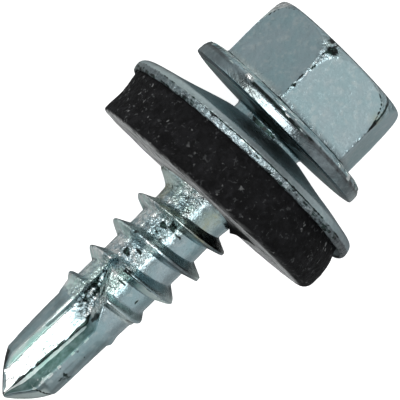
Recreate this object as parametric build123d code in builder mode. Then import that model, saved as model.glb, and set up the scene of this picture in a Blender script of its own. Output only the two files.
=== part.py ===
"""Self drilling screw, 5.5 x 19 mm, with a hexagon washer head and a loose
bonded sealing washer (domed steel plate with a thick rubber ring under it).

The screw lies as it comes to rest: on one edge of its head and on the rim of
the washer, with the drill point raised.  +X runs along the screw towards the
point, +Z is up, and the origin is the centre of the footprint on the ground.
All sizes are in millimetres.
"""
from build123d import *
from math import sin, cos, pi, radians
import os

os.makedirs("parts", exist_ok=True)

# ---------------------------------------------------------------- dimensions
# how the screw lies
rest_tilt = 22.0              # screw axis above the ground, point end raised
axis_foot = (-5.854, -0.031, 5.583)  # where the axis crosses the plane of the head's underside

# hexagon head (distances s along the axis are from the flange's underside,
# positive towards the point)
across_flats = 7.96
corner_r = 0.12               # the hexagon's long edges are slightly rounded
head_base_r = 0.15            # and its foot runs into the flange
head_top_s = -5.14
head_top_flat_r = 3.25        # flat disc left on top inside the rounded edge
corner_break_r = 4.43         # where the corners' slow taper turns into the top rounding
corner_break_s = -4.30
corner_full_r = 4.65
corner_full_s = -2.60

# flange
flange_low_r = 5.22
flange_max_r = 5.48
flange_top_r = 5.27
flange_low_s = -0.02
flange_mid_s = -0.42
flange_top_s = -0.83
flange_shoulder_r = 4.67
flange_shoulder_s = -1.015
flange_inner_r = 3.60
flange_inner_s = -1.035
underside_inner_s = 0.19      # the underside is slightly conical

# neck, shank and point
neck_d = 4.30
neck_r = 0.20                 # fillet under the head
neck_end_s = 4.95
root_d = 3.68
root_start_s = 5.12
drill_start_s = 12.60
drill_d = 3.60
drill_start2_s = 14.40
drill_mid_d = 3.52          # a little slimmer half way along the flutes
drill_mid_s = 16.20
shoulder_d = 3.40
shoulder_s = 17.36
tip_r = 0.12
tip_s = 19.24

# thread
pitch = 1.80
major_d = 5.22
crest_flat = 0.08
flank_head = 0.50             # axial width of the flank on the head's side
flank_point = 0.40            # and on the point's side
thread_root_sink = 0.14       # how far the ridge's foot is sunk in the shank
helix_start_s = 4.888
helix_turns = 5.25

# the ridge rises out of the shank under the washer and fades out on the drill
# (distance along the axis, crest radius)
thread_height = [
    (5.02, 1.90), (5.45, 2.45), (5.80, 2.61), (9.30, 2.61), (10.05, 2.46),
    (10.90, 2.24), (12.20, 2.12), (13.10, 1.93), (13.60, 1.80),
]

# flutes, in the plane square to the axis, for the flute that faces up
flute_turn = -20.4            # turn of this flute about the axis from straight up, towards +Y
flute_edge_left = (-1.10, 1.47)
flute_edge_right = (0.82, 1.60)
flute_edge_right_end = (0.84, 1.46)
valley_start = (0.36, 0.36)   # bottom of the V where the flute begins
valley_end = (-0.10, 0.14)    # and at the point
flute_top_s = 10.30           # the flute's left edge begins here
flute_full_s = 13.40          # and its full section here

# washer plate, in its own frame (radius, distance towards the point)
washer_pivot_s = 0.85
washer_tilt = 4.21            # the loose washer leans on the neck
washer_tilt_turn = 16.2       # towards which side, from straight up
plate_hole_d = 4.90
plate_hole_edge_r = 0.22      # the punched hole's edge is drawn in on the head's side
plate_r = 7.219
plate_t = 0.74
plate_top = [(2.30, -0.245), (3.10, -0.028), (4.12, 0.249), (6.80, 0.975)]
plate_rim_mid = (7.09, 1.125)
plate_rim_top = 1.36
plate_rim_low = 1.755
plate_low_r = 7.02

# gasket
gasket_bore_d = 4.40
gasket_top_r = 6.92
gasket_waist_r = 6.80
gasket_low_r = 6.84
gasket_low_s = 5.09
gasket_low_tilt = 2.9         # its underside is not parallel to the plate
gasket_low_turn = 69.6        # side that its underside is nearest the head, from straight up
gasket_edge_r = 0.35

# ---------------------------------------------------------------- directions
th = radians(rest_tilt)
O = Vector(*axis_foot)
D = Vector(cos(th), 0, sin(th))            # along the screw, head to point
UP = Vector(-sin(th), 0, cos(th))          # square to the axis, facing up
SIDE = Vector(0, -1, 0)                    # D x UP


def around(turn):
    """Unit vector square to the axis, turned from straight up towards +Y."""
    a = radians(turn)
    return UP * cos(a) - SIDE * sin(a)


def at(s):
    """Point on the screw axis."""
    return O + D * s


def along(p):
    return (p - O).dot(D)


def off_axis(p):
    return (p - O - D * along(p)).length


screw_axis = Axis(tuple(O), tuple(D))
profile_plane = Plane(origin=tuple(O), x_dir=tuple(UP), z_dir=(0, 1, 0))   # x radius, y along the axis


def cross_plane(s, turn=0.0):
    """Plane square to the axis at s, x across and y towards the given turn."""
    y = around(turn)
    x = y.cross(D)
    return Plane(origin=tuple(at(s)), x_dir=tuple(x), z_dir=tuple(D))


# ---------------------------------------------------------------- the screw
# limit of the hexagon: slow taper of the corners, then the rounded top edge
with BuildPart() as head_limit:
    with BuildSketch(profile_plane):
        with BuildLine():
            Polyline((0, head_top_s), (0, -0.60), (6.0, -0.60), (6.0, corner_full_s),
                     (corner_full_r, corner_full_s))
            Bezier((corner_full_r, corner_full_s), (4.57, -3.40), (4.52, -3.90),
                   (corner_break_r, corner_break_s))
            Bezier((corner_break_r, corner_break_s), (4.37, -4.9977), (4.12, -5.12),
                   (head_top_flat_r, head_top_s))
            Line((head_top_flat_r, head_top_s), (0, head_top_s))
        make_face()
    revolve(axis=screw_axis)

# one flute: a V whose two walls run to the point and whose end is slanted
def flute_triangle(plane_s):
    f = (plane_s - flute_full_s) / (tip_s - flute_full_s)
    vx = valley_start[0] + (valley_end[0] - valley_start[0]) * f
    vy = valley_start[1] + (valley_end[1] - valley_start[1]) * f
    ex = flute_edge_right[0] + (flute_edge_right_end[0] - flute_edge_right[0]) * f
    ey = flute_edge_right[1] + (flute_edge_right_end[1] - flute_edge_right[1]) * f
    lx, ly = flute_edge_left
    k = 1.2
    return [(vx, vy), (ex + (ex - vx) * k, ey + (ey - vy) * k), (lx + (lx - vx) * k, ly + (ly - vy) * k)]


flute_low_s, flute_high_s = 9.0, 20.0
P1 = cross_plane(flute_top_s, flute_turn).from_local_coords(Vector(flute_edge_left[0], flute_edge_left[1], 0))
P2 = cross_plane(flute_full_s, flute_turn).from_local_coords(Vector(flute_edge_right[0], flute_edge_right[1], 0))
P3 = cross_plane(flute_full_s - 0.05, flute_turn).from_local_coords(Vector(valley_start[0], valley_start[1], 0))
end_normal = (P2 - P1).cross(P3 - P1).normalized()
if end_normal.dot(D) < 0:
    end_normal = end_normal * -1

with BuildPart() as flute:
    with BuildSketch(cross_plane(flute_low_s, flute_turn)):
        with BuildLine():
            Polyline(*flute_triangle(flute_low_s), close=True)
        make_face()
    with BuildSketch(cross_plane(flute_high_s, flute_turn)):
        with BuildLine():
            Polyline(*flute_triangle(flute_high_s), close=True)
        make_face()
    loft(ruled=True)
    split(bisect_by=Plane(origin=tuple(P1), z_dir=tuple(end_normal)), keep=Keep.TOP)

other_flute = flute.part.rotate(screw_axis, 180)

# thread ridge: one sharp tooth swept along a right hand helix, its height set at each station
with BuildPart() as thread:
    with BuildLine() as helix_path:
        Helix(pitch=pitch, height=pitch * helix_turns, radius=root_d / 2,
              center=tuple(at(helix_start_s)), direction=tuple(D))
    helix_wire = helix_path.wires()[0]
    first_s, last_s = thread_height[0][0], thread_height[-1][0]
    ridge_path = helix_wire.trim((first_s - helix_start_s) / (pitch * helix_turns),
                                 (last_s - helix_start_s) / (pitch * helix_turns))
    full_height = (major_d - root_d) / 2
    for s, crest_r in thread_height:
        turn = 2 * pi * (s - helix_start_s) / pitch
        radial = UP * cos(turn) + SIDE * sin(turn)
        t = (s - first_s) / (last_s - first_s)
        height = crest_r - root_d / 2
        share = height / full_height
        head_w, point_w = flank_head * share + 0.03, flank_point * share + 0.03
        with BuildSketch(Plane(origin=tuple(ridge_path @ t), x_dir=tuple(radial), z_dir=tuple(ridge_path % t))):
            with BuildLine():
                Polyline((-thread_root_sink, head_w + thread_root_sink * 0.6), (height, crest_flat / 2),
                         (height, -crest_flat / 2), (-thread_root_sink, -point_w - thread_root_sink * 0.5),
                         close=True)
            make_face()
    sweep(path=ridge_path, is_frenet=True, multisection=True)
    add(flute.part, mode=Mode.SUBTRACT)
    add(other_flute, mode=Mode.SUBTRACT)

with BuildPart() as screw:
    # hexagon
    with BuildSketch(cross_plane(head_top_s)) as hexagon:
        RegularPolygon(radius=across_flats / 2, side_count=6, major_radius=False, rotation=0)
        fillet(hexagon.vertices(), corner_r)
    extrude(amount=-head_top_s - 0.70)
    add(head_limit.part, mode=Mode.INTERSECT)
    # flange, neck, shank and point in one turned profile
    with BuildSketch(profile_plane):
        with BuildLine():
            Polyline((0, flange_inner_s), (flange_inner_r, flange_inner_s),
                     (flange_shoulder_r, flange_shoulder_s), (flange_top_r, flange_top_s))
            ThreePointArc((flange_top_r, flange_top_s), (flange_max_r, flange_mid_s),
                          (flange_low_r, flange_low_s))
            Line((flange_low_r, flange_low_s), (neck_d / 2 + neck_r, underside_inner_s))
            ThreePointArc((neck_d / 2 + neck_r, underside_inner_s),
                          (neck_d / 2 + neck_r * (1 - sin(pi / 4)), underside_inner_s + neck_r * (1 - sin(pi / 4))),
                          (neck_d / 2, underside_inner_s + neck_r))
            Polyline((neck_d / 2, underside_inner_s + neck_r), (neck_d / 2, neck_end_s),
                     (root_d / 2, root_start_s), (root_d / 2, drill_start_s),
                     (drill_d / 2, drill_start2_s), (drill_mid_d / 2, drill_mid_s),
                     (shoulder_d / 2, shoulder_s),
                     (tip_r, tip_s), (0, tip_s + 0.03), (0, flange_inner_s))
        make_face()
    revolve(axis=screw_axis)
    foot_edges = [
        e for e in screw.edges()
        if flange_inner_s < along(e @ 0.5) < flange_shoulder_s and off_axis(e @ 0.5) < flange_shoulder_r - 0.05
    ]
    fillet(foot_edges, head_base_r)
    add(flute.part, mode=Mode.SUBTRACT)
    add(other_flute, mode=Mode.SUBTRACT)
    add(thread.part)

screw.part.label = "screw"
export_step(screw.part, "parts/screw.step")

# ---------------------------------------------------------------- the washer
lean = around(washer_tilt_turn)
W = (D * cos(radians(washer_tilt)) + lean * sin(radians(washer_tilt))).normalized()
pivot = at(washer_pivot_s)
wx = (lean - W * lean.dot(W)).normalized()
washer_plane = Plane(origin=tuple(pivot), x_dir=tuple(wx), z_dir=tuple(wx.cross(W)))   # x radius, y towards the point
washer_axis = Axis(tuple(pivot), tuple(W))

plate_slope_drop = plate_t / cos(radians(15.2))
plate_under = [(r, h + plate_slope_drop) for r, h in plate_top]

with BuildPart() as washer_plate:
    with BuildSketch(washer_plane):
        with BuildLine():
            Polyline((0, plate_top[0][1]), *plate_top)
            ThreePointArc(plate_top[-1], plate_rim_mid, (plate_r, plate_rim_top))
            Line((plate_r, plate_rim_top), (plate_r, plate_rim_low - 0.10))
            ThreePointArc((plate_r, plate_rim_low - 0.10), (7.15, plate_rim_low - 0.02), (plate_low_r, plate_rim_low))
            Polyline((plate_low_r, plate_rim_low), *reversed(plate_under), (0, plate_under[0][1]), (0, plate_top[0][1]))
        make_face()
    revolve(axis=washer_axis)
    with BuildSketch(cross_plane(-1.5)):
        Circle(plate_hole_d / 2)
    extrude(amount=5.0, mode=Mode.SUBTRACT)
    hole_edge = washer_plate.edges().filter_by(lambda e: off_axis(e @ 0.5) < plate_hole_d / 2 + 0.01).sort_by(screw_axis)[0]
    fillet(hole_edge, plate_hole_edge_r)

washer_plate.part.label = "washer_plate"
export_step(washer_plate.part, "parts/washer_plate.step")

low_lean = around(gasket_low_turn)
low_normal = (D * cos(radians(gasket_low_tilt)) + low_lean * sin(radians(gasket_low_tilt))).normalized()

with BuildPart() as rubber_gasket:
    with BuildSketch(washer_plane):
        with BuildLine():
            Polyline((0, plate_under[0][1]), *plate_under, (gasket_top_r, plate_rim_low - 0.03))
            ThreePointArc((gasket_top_r, plate_rim_low - 0.03), (gasket_waist_r, 3.2), (gasket_low_r, 4.9))
            Polyline((gasket_low_r, 4.9), (0, 4.9), (0, plate_under[0][1]))
        make_face()
    revolve(axis=washer_axis)
    split(bisect_by=Plane(origin=tuple(at(gasket_low_s)), z_dir=tuple(low_normal)), keep=Keep.BOTTOM)
    low_face = rubber_gasket.faces().filter_by(GeomType.PLANE).sort_by(screw_axis)[-1]
    fillet(low_face.edges(), gasket_edge_r)
    with BuildSketch(cross_plane(-1.5)):
        Circle(gasket_bore_d / 2)
    extrude(amount=8.0, mode=Mode.SUBTRACT)

rubber_gasket.part.label = "rubber_gasket"
export_step(rubber_gasket.part, "parts/rubber_gasket.step")
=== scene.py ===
"""Looks of the self drilling screw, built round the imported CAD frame.

The meshes are made in code in millimetres, in cylinder coordinates about the
screw's own axis, and are turned into the frame's metres at the end.  ``psi`` is
the angle about the axis (0 faces the camera, +90 is the right-hand side seen
with the head up) and ``s`` the distance along it from the flange's underside,
positive towards the drill point.
"""

import math

import bmesh
import bpy
import numpy as np
from mathutils import Matrix, Vector


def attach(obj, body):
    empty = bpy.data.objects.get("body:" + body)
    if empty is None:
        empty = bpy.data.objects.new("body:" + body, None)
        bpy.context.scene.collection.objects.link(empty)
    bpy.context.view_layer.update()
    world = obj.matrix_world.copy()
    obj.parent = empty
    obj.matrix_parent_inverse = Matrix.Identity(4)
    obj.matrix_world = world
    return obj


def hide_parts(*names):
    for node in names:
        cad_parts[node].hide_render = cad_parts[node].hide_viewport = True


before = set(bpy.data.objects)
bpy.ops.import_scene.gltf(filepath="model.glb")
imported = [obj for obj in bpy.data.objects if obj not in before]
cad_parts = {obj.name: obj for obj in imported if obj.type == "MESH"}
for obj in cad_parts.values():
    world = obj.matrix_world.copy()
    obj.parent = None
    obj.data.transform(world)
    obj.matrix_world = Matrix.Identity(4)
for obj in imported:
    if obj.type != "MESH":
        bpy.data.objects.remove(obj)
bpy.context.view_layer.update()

# ------------------------------------------------------------------ the frame
MM = 0.001
TILT = math.radians(22.0)
O = np.array([-5.854, -0.031, 5.583])
D = np.array([math.cos(TILT), 0.0, math.sin(TILT)])          # head to point
UP = np.array([-math.sin(TILT), 0.0, math.cos(TILT)])
Y = np.array([0.0, 1.0, 0.0])
PHI = math.radians(20.4)
C = math.cos(PHI) * UP - math.sin(PHI) * Y                   # square to the axis, towards the camera
R = math.sin(PHI) * UP + math.cos(PHI) * Y                   # square to the axis, to the right

PITCH = 1.80


def lerp(a, b, t):
    return a + (b - a) * t


def smooth(x, lo, hi):
    t = np.clip((x - lo) / (hi - lo), 0.0, 1.0)
    return t * t * (3.0 - 2.0 * t)


def bell(x, centre, width):
    return np.exp(-((x - centre) / width) ** 2)


def smin(a, b, k):
    h = np.clip(0.5 + 0.5 * (b - a) / k, 0.0, 1.0)
    return b + (a - b) * h - k * h * (1.0 - h)


def smax(a, b, k):
    return -smin(-a, -b, k)


def turn_apart(a, b):
    """Signed difference of two angles in degrees, within half a turn."""
    return (a - b + 180.0) % 360.0 - 180.0


def _hash(x, y, z, seed):
    h = (x.astype(np.uint32) * np.uint32(374761393)) ^ (y.astype(np.uint32) * np.uint32(668265263))
    h = h ^ (z.astype(np.uint32) * np.uint32(2246822519)) ^ np.uint32((seed * 3266489917) & 0xFFFFFFFF)
    h = (h ^ (h >> np.uint32(13))) * np.uint32(1274126177)
    h = (h ^ (h >> np.uint32(15))) * np.uint32(2654435761)
    h = h ^ (h >> np.uint32(16))
    return h.astype(np.float64) / 4294967295.0 * 2.0 - 1.0


def noise(p, freq, seed=0):
    """Smooth value noise from -1 to 1 at points p in millimetres, freq per millimetre (a number or one for each axis)."""
    q = np.asarray(p, float) * freq
    i = np.floor(q).astype(np.int64)
    f = q - i
    f = f * f * f * (f * (f * 6 - 15) + 10)
    out = 0.0
    for dx in (0, 1):
        wx = f[..., 0] if dx else 1 - f[..., 0]
        for dy in (0, 1):
            wy = f[..., 1] if dy else 1 - f[..., 1]
            for dz in (0, 1):
                wz = f[..., 2] if dz else 1 - f[..., 2]
                out = out + wx * wy * wz * _hash(i[..., 0] + dx, i[..., 1] + dy, i[..., 2] + dz, seed)
    return out


def fbm(p, freq, octaves=3, seed=0):
    total, amp, norm = 0.0, 1.0, 0.0
    for k in range(octaves):
        total = total + amp * noise(p, np.asarray(freq) * 2.0 ** k, seed + 17 * k)
        norm += amp
        amp *= 0.5
    return total / norm


def cyl(psi_deg, r, s):
    """Screw cylinder coordinates to a local point (c, r, s axes) in millimetres."""
    a = np.radians(psi_deg)
    return np.stack([r * np.cos(a), r * np.sin(a), s * np.ones_like(a)], -1)


def local_to_frame(p):
    """Local (towards camera, right, along) millimetres to frame metres."""
    p = np.asarray(p, float)
    return (O + p[..., 0:1] * C + p[..., 1:2] * R + p[..., 2:3] * D) * MM


# ------------------------------------------------------------------ mesh making
class Shell:
    """Collects vertices, faces and per-vertex values, then becomes one clean mesh."""

    def __init__(self):
        self.points, self.faces, self.values, self.count = [], [], {}, 0

    def grid(self, p, values, close=True):
        """p is rows x columns x 3.  Returns the index grid.  close joins the last column to the first."""
        rows, cols = p.shape[:2]
        index = np.arange(rows * cols).reshape(rows, cols) + self.count
        self.points.append(p.reshape(-1, 3))
        for name in VALUES:
            v = values.get(name, 0.0)
            self.values.setdefault(name, []).append(np.broadcast_to(v, (rows, cols)).reshape(-1))
        self.count += rows * cols
        nxt = np.roll(index, -1, 1) if close else index[:, 1:]
        cur = index if close else index[:, :-1]
        quads = np.stack([cur[:-1], nxt[:-1], nxt[1:], cur[1:]], -1).reshape(-1, 4)
        self.faces.extend(map(tuple, quads.tolist()))
        return index

    def point(self, p, values):
        self.points.append(np.asarray(p, float).reshape(1, 3))
        for name in VALUES:
            self.values.setdefault(name, []).append(np.array([float(values.get(name, 0.0))]))
        self.count += 1
        return self.count - 1

    def fan(self, centre, ring, flip=False):
        n = len(ring)
        for k in range(n):
            a, b = int(ring[k]), int(ring[(k + 1) % n])
            self.faces.append((centre, b, a) if flip else (centre, a, b))

    def build(self, name, to_frame, merge=0.0006, sharp=None):
        pts = np.concatenate(self.points)
        mesh = bpy.data.meshes.new(name)
        mesh.from_pydata(pts.tolist(), [], self.faces)
        for key in VALUES:
            attribute = mesh.attributes.new(key, "FLOAT", "POINT")
            attribute.data.foreach_set("value", np.concatenate(self.values[key]).astype(np.float32))
        bm = bmesh.new()
        bm.from_mesh(mesh)
        bmesh.ops.remove_doubles(bm, verts=bm.verts, dist=merge)
        bmesh.ops.dissolve_degenerate(bm, dist=merge * 0.5, edges=bm.edges)
        bmesh.ops.recalc_face_normals(bm, faces=bm.faces)
        loose = [v for v in bm.verts if not v.link_faces]
        if loose:
            bmesh.ops.delete(bm, geom=loose, context="VERTS")
        bm.to_mesh(mesh)
        bm.free()
        co = np.empty(len(mesh.vertices) * 3)
        mesh.vertices.foreach_get("co", co)
        mesh.vertices.foreach_set("co", to_frame(co.reshape(-1, 3)).astype(np.float32).ravel())
        mesh.polygons.foreach_set("use_smooth", np.ones(len(mesh.polygons), bool))
        if sharp is not None:
            mesh.set_sharp_from_angle(angle=math.radians(sharp))
        mesh.update()
        piece = bpy.data.objects.new(name, mesh)
        bpy.context.scene.collection.objects.link(piece)
        return piece


# dark, green and shade darken the colour and bright and pale lighten it: besides real marks and tints they carry much
# painted shade and painted highlight
VALUES = ("relief", "dark", "bright", "lines", "green", "warm", "gloss", "shade", "pale")   # what the materials read from the vertices

# ------------------------------------------------------------------ the head
HEX_APOTHEM = 4.01
HEX_TURN = 20.4             # a flat's middle

# the limit of the hexagon's corners, from the middle of the top to the foot: (radius, s)
TOP_CURVE = np.array([
    (2.60, -5.122), (2.90, -5.132), (3.10, -5.136), (3.30, -5.132), (3.50, -5.118), (3.68, -5.095),
    (3.84, -5.058), (3.97, -5.010), (4.08, -4.950), (4.17, -4.880), (4.245, -4.800), (4.305, -4.70),
    (4.365, -4.59), (4.408, -4.47), (4.442, -4.34), (4.473, -4.21), (4.50, -4.06), (4.525, -3.90),
    (4.547, -3.73), (4.568, -3.54), (4.588, -3.35), (4.608, -3.15), (4.63, -2.95), (4.655, -2.75),
    (4.69, -2.55), (4.74, -2.30), (4.81, -2.10), (4.90, -1.90), (4.95, -1.70), (4.98, -1.55), (5.0, -1.42),
])
FLANGE_TOP = np.array([(3.5, -1.035), (3.95, -1.035), (4.31, -1.035), (4.67, -1.015), (4.85, -0.985), (5.00, -0.935), (5.18, -0.870)])


def hex_columns():
    near = [0.0, 0.22, 0.45, 0.7, 0.95, 1.25, 1.7, 2.4, 3.4, 4.6]
    rest = np.linspace(6.0, 30.0, 14)[:]
    half = np.array(near + rest.tolist())            # degrees from a corner to the flat's middle
    face = np.concatenate([half, 60.0 - half[::-1][1:-1]])
    corners = HEX_TURN + 30.0 + 60.0 * np.arange(6)
    return np.concatenate([c + face for c in corners])


def hex_radius(psi, rc):
    """Polar radius of the hexagon with rounded corners."""
    a = turn_apart(psi, HEX_TURN)
    a = (a + 30.0) % 60.0 - 30.0                     # from the nearest flat's middle
    flat = HEX_APOTHEM / np.cos(np.radians(a))
    b = np.radians(30.0 - np.abs(a))                 # from the nearest corner
    d = (HEX_APOTHEM - rc) / math.cos(math.radians(30.0))
    limit = np.arctan2(rc * 0.5, d + rc * math.cos(math.radians(30.0)))
    arc = d * np.cos(b) + np.sqrt(np.maximum(rc ** 2 - (d * np.sin(b)) ** 2, 0.0))
    return np.where(b < limit, arc, flat)


def head_rows(shell):
    psi = hex_columns()
    n = len(psi)
    rows_r, rows_s, rows_v = [], [], []

    def add(r, s, **values):
        rows_r.append(np.broadcast_to(r, n).astype(float))
        rows_s.append(np.broadcast_to(s, n).astype(float))
        rows_v.append(values)

    corner = 30.0 - np.abs((turn_apart(psi, HEX_TURN) + 30.0) % 60.0 - 30.0)   # 0 at a corner, 30 on a flat's middle
    front_corner = bell(turn_apart(psi, -9.6), 0.0, 6.5)
    right_corner = bell(turn_apart(psi, 50.4), 0.0, 4.5)

    # top, slightly dished by the forming punch
    for r, s in [(0.35, -5.065), (0.9, -5.066), (1.5, -5.072), (2.0, -5.085), (2.35, -5.105)]:
        add(r, s, relief=0.35, gloss=0.36)
    # sides
    t = np.concatenate([np.arange(len(TOP_CURVE) - 1) + f for f in (0.0, 0.34, 0.67)])
    t = np.sort(np.append(t, len(TOP_CURVE) - 1))
    env_r = np.interp(t, np.arange(len(TOP_CURVE)), TOP_CURVE[:, 0])
    env_s = np.interp(t, np.arange(len(TOP_CURVE)), TOP_CURVE[:, 1])
    for er, es in zip(env_r, env_s):
        at = cyl(psi, 4.5, es)
        rc = 0.12 + 0.05 * fbm(at, 2.2, 3, 5)
        # struck places: the top of the front edge, and the right edge a third of the way down
        struck = front_corner * smooth(-es, 4.25, 4.85)
        nick = right_corner * bell(es, -3.80, 0.30)
        rc = rc + 0.60 * struck + front_corner * 0.05 + 0.22 * nick
        rc = np.clip(rc, 0.05, 0.9)
        hr = hex_radius(psi, rc)
        r = smin(hr, er, 0.05)
        on_corner = np.exp(-(corner / 1.3) ** 2)
        cut = smooth(hr - er, -0.02, 0.04) * (er > 3.95)
        on_front = on_corner * bell(turn_apart(psi, -9.6), 0.0, 12.0)
        on_right = on_corner * bell(turn_apart(psi, 50.4), 0.0, 12.0)
        speck = fbm(cyl(psi, 9.0, es), 2.4, 2, 6)
        blotch = fbm(cyl(psi, 4.4, es), (3.0, 3.0, 2.2), 2, 7)
        lens = cut * bell(turn_apart(psi, -76.0), 0.0, 16.0) * smooth(-es, 2.9, 3.6)
        lens_edge = bell(hr - er, 0.0, 0.022) * (bell(turn_apart(psi, -62.0), 0.0, 12.0) + bell(turn_apart(psi, 42.0), 0.0, 12.0)) * smooth(-es, 2.9, 3.8) * (er > 3.9)
        upper = smooth(-es, 2.7, 3.3)
        # painted light and shade on the hexagon: painted highlight specks and dark specks along the front corner,
        # painted shade on the right corner growing towards the top and along the top edge, a painted highlight on the
        # cut lens with a dark outline, the front-right flat painted paler and the right-hand flats painted a darker
        # green; the struck place and the nick are real wear
        add(r, es,
            relief=0.16 + 0.35 * cut + 0.5 * on_corner + 0.6 * struck,
            dark=np.clip(struck * (0.38 + 1.4 * blotch) + 0.28 * front_corner * smooth(-es, 3.9, 4.4) + on_front * smooth(speck, 0.0, 0.5) * 0.62 + on_right * (0.15 + 0.55 * upper) + 0.7 * lens_edge
                         + 0.5 * smooth(-es, 5.02, 5.10) * (er > 3.5), 0, 1),
            bright=np.clip(0.75 * on_front * smooth(-speck, 0.05, 0.4) * (1.0 - struck) + 0.75 * lens + 0.2 * struck * smooth(-blotch, 0.0, 0.3), 0, 1),
            pale=0.14 * (1 - smooth(np.abs(turn_apart(psi, 20.4)), 26.0, 29.0)),
            shade=np.clip(0.15 * on_front + 0.25 * on_right, 0, 1),
            green=0.22 * smooth(psi, 54.0, 60.0) * (1 - smooth(psi, 100.0, 108.0)) * smooth(es, -4.6, -2.4),
            warm=np.clip(0.9 * nick + 0.45 * struck * smooth(-turn_apart(psi, -9.6), 0.5, 3.0), 0, 1),
            gloss=0.36 - 0.04 * cut + 0.02 * speck)
    # foot fillet, with painted shade in its crease and a painted highlight along it on the left, and the flange's top
    # with painted highlight specks, a painted highlight on its left and painted shade on its right
    rc = np.clip(0.12 + 0.05 * fbm(cyl(psi, 4.5, -1.3), 2.2, 3, 5), 0.06, 0.3)
    foot = hex_radius(psi, rc)

    def top_of_flange(r):
        return np.interp(r, FLANGE_TOP[:, 0], FLANGE_TOP[:, 1])

    fr = 0.14
    p0 = (foot, top_of_flange(foot) - fr)
    p1 = (foot, top_of_flange(foot))
    p2 = (foot + fr, top_of_flange(foot + fr))
    on_left = bell(turn_apart(psi, -40.0), 0.0, 27.0) + bell(turn_apart(psi, 140.0), 0.0, 27.0)
    for t, shade in ((0.12, 0.0), (0.3, 0.25), (0.5, 0.65), (0.7, 0.85), (0.88, 0.6)):
        a, b, c = (1 - t) ** 2, 2 * t * (1 - t), t * t
        add(a * p0[0] + b * p1[0] + c * p2[0], a * p0[1] + b * p1[1] + c * p2[1], relief=0.5,
            dark=shade * (1 - 0.15 * on_left), pale=0.8 * on_left * (1 - smooth(t, 0.25, 0.45)), shade=0.5 * (1 - on_left), gloss=0.34)
    lit = smooth(fbm(cyl(psi, 5.0, -1.0), 1.6, 3, 33), 0.0, 0.45)
    for t in np.linspace(0.0, 1.0, 14):
        r = lerp(foot + fr, 5.17, t)
        add(r, top_of_flange(r), relief=0.9, lines=0.3, gloss=0.30, bright=np.maximum(0.8 * lit * bell(t, 0.75, 0.40) + 0.16, 0.55 * on_left), shade=0.10 * (1 - on_left), dark=0.12 * (1 - t) * (1 - on_left))
    # rim: a smooth band with a dark bend above and below it. The bends' darkness and the band's darkness away from its
    # front left are painted shade; its front left and its two ends are painted highlight.
    turned = turn_apart(psi, 0.0)
    rim_painted_shade = 0.35 + 0.38 * smooth(-turned, 38.0, 56.0) + 0.45 * smooth(turned, -3.0, 12.0)
    band_front = smooth(turned, -34.0, -20.0) * (1 - smooth(turned, 8.0, 26.0))
    for r, s in [(5.21, -0.865), (5.245, -0.84), (5.28, -0.81), (5.31, -0.775), (5.34, -0.74), (5.365, -0.705), (5.39, -0.67), (5.412, -0.635),
                 (5.432, -0.60), (5.450, -0.565), (5.462, -0.53), (5.468, -0.495), (5.475, -0.44), (5.478, -0.38), (5.480, -0.32), (5.481, -0.26),
                 (5.480, -0.19), (5.477, -0.14), (5.472, -0.10), (5.462, -0.072), (5.444, -0.052), (5.41, -0.038), (5.36, -0.028), (5.31, -0.02), (5.27, -0.012),
                 (5.24, -0.004), (5.20, 0.003), (5.14, 0.010), (5.05, 0.018), (4.95, 0.026)]:
        upper = smooth(-s, 0.36, 0.50)
        bend = smooth(-s, 0.50, 0.56) * (1 - smooth(-s, 0.68, 0.76))
        add(r, s, relief=0.10, lines=1.0, gloss=0.20, shade=np.clip(rim_painted_shade * (1 - 0.9 * smooth(-s, 0.70, 0.78)) * (1 - 0.5 * smooth(s, -0.09, -0.03)) + 0.30 * upper * bell(turned, 6.0, 13.0) - 0.25 * smooth(np.abs(turned), 66.0, 84.0) + 0.06 * upper * smooth(turned, 8.0, 24.0) + (0.2 + 0.3 * band_front) * bend, 0, 1),
            dark=np.clip(0.72 * bell(s, -0.030, 0.022) * (1 - 0.5 * bell(turned, -8.0, 18.0)) * (1 - 0.6 * smooth(np.abs(turned), 30.0, 60.0)) + 0.50 * bend * band_front + 0.04 * bend, 0, 1),
            pale=np.clip(0.55 * bell(turned, -22.0, 13.0) * (1 - upper) * (s < -0.09) + 0.35 * smooth(np.abs(turned), 70.0, 84.0), 0, 1))
    # the flange's underside: painted shade across the front, where the washer shades it, and painted highlight rings
    # and glints on both sides
    sideways = smooth(np.abs(turned), 16.0, 34.0)
    for r in (4.8, 4.7, 4.6, 4.5, 4.4, 4.2, 3.9, 3.6, 3.3, 3.0, 2.8, 2.6, 2.42):
        ring = noise(np.array([r * 4.1, 0.3, 0.7]), 1.0, 38)
        glint = bell(r, 4.6, 0.16)
        add(r, lerp(0.012, 0.19, (5.05 - r) / 2.7), relief=0.3, lines=0.8, gloss=0.34, bright=np.clip(0.40 + 0.25 * ring + 0.5 * glint, 0, 1) * sideways * (r > 3.4),
            pale=np.clip(0.40 + 0.6 * glint, 0, 1) * sideways, dark=np.clip((0.05 - 0.4 * ring) * (r > 3.4) + 0.75 * (1 - sideways), 0, 1))
    for a in (20, 45, 70):
        a = math.radians(a)
        add(2.35 - 0.2 * math.sin(a), 0.19 + 0.2 * (1 - math.cos(a)), relief=0.3, gloss=0.30)
    around = np.abs(turn_apart(psi, -8.0))
    in_shade = np.clip(bell(turn_apart(psi, -7.0), 0.0, 19.0) * 1.3 + 0.25 * fbm(cyl(psi, 2.15, 0.5), 1.2, 2, 37), 0, 1)
    for s in (0.39, 0.45, 0.52, 0.6, 0.75, 0.9, 1.2, 1.5):
        add(2.15, s, relief=0.25, gloss=0.30, shade=in_shade, dark=0.95 * in_shade)

    rr, ss = np.array(rows_r), np.array(rows_s)
    pp = np.broadcast_to(psi, rr.shape)
    vals = {k: np.stack([np.broadcast_to(v.get(k, 0.0), n) for v in rows_v]) for k in VALUES}
    p = cyl(pp, rr, ss)
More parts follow.
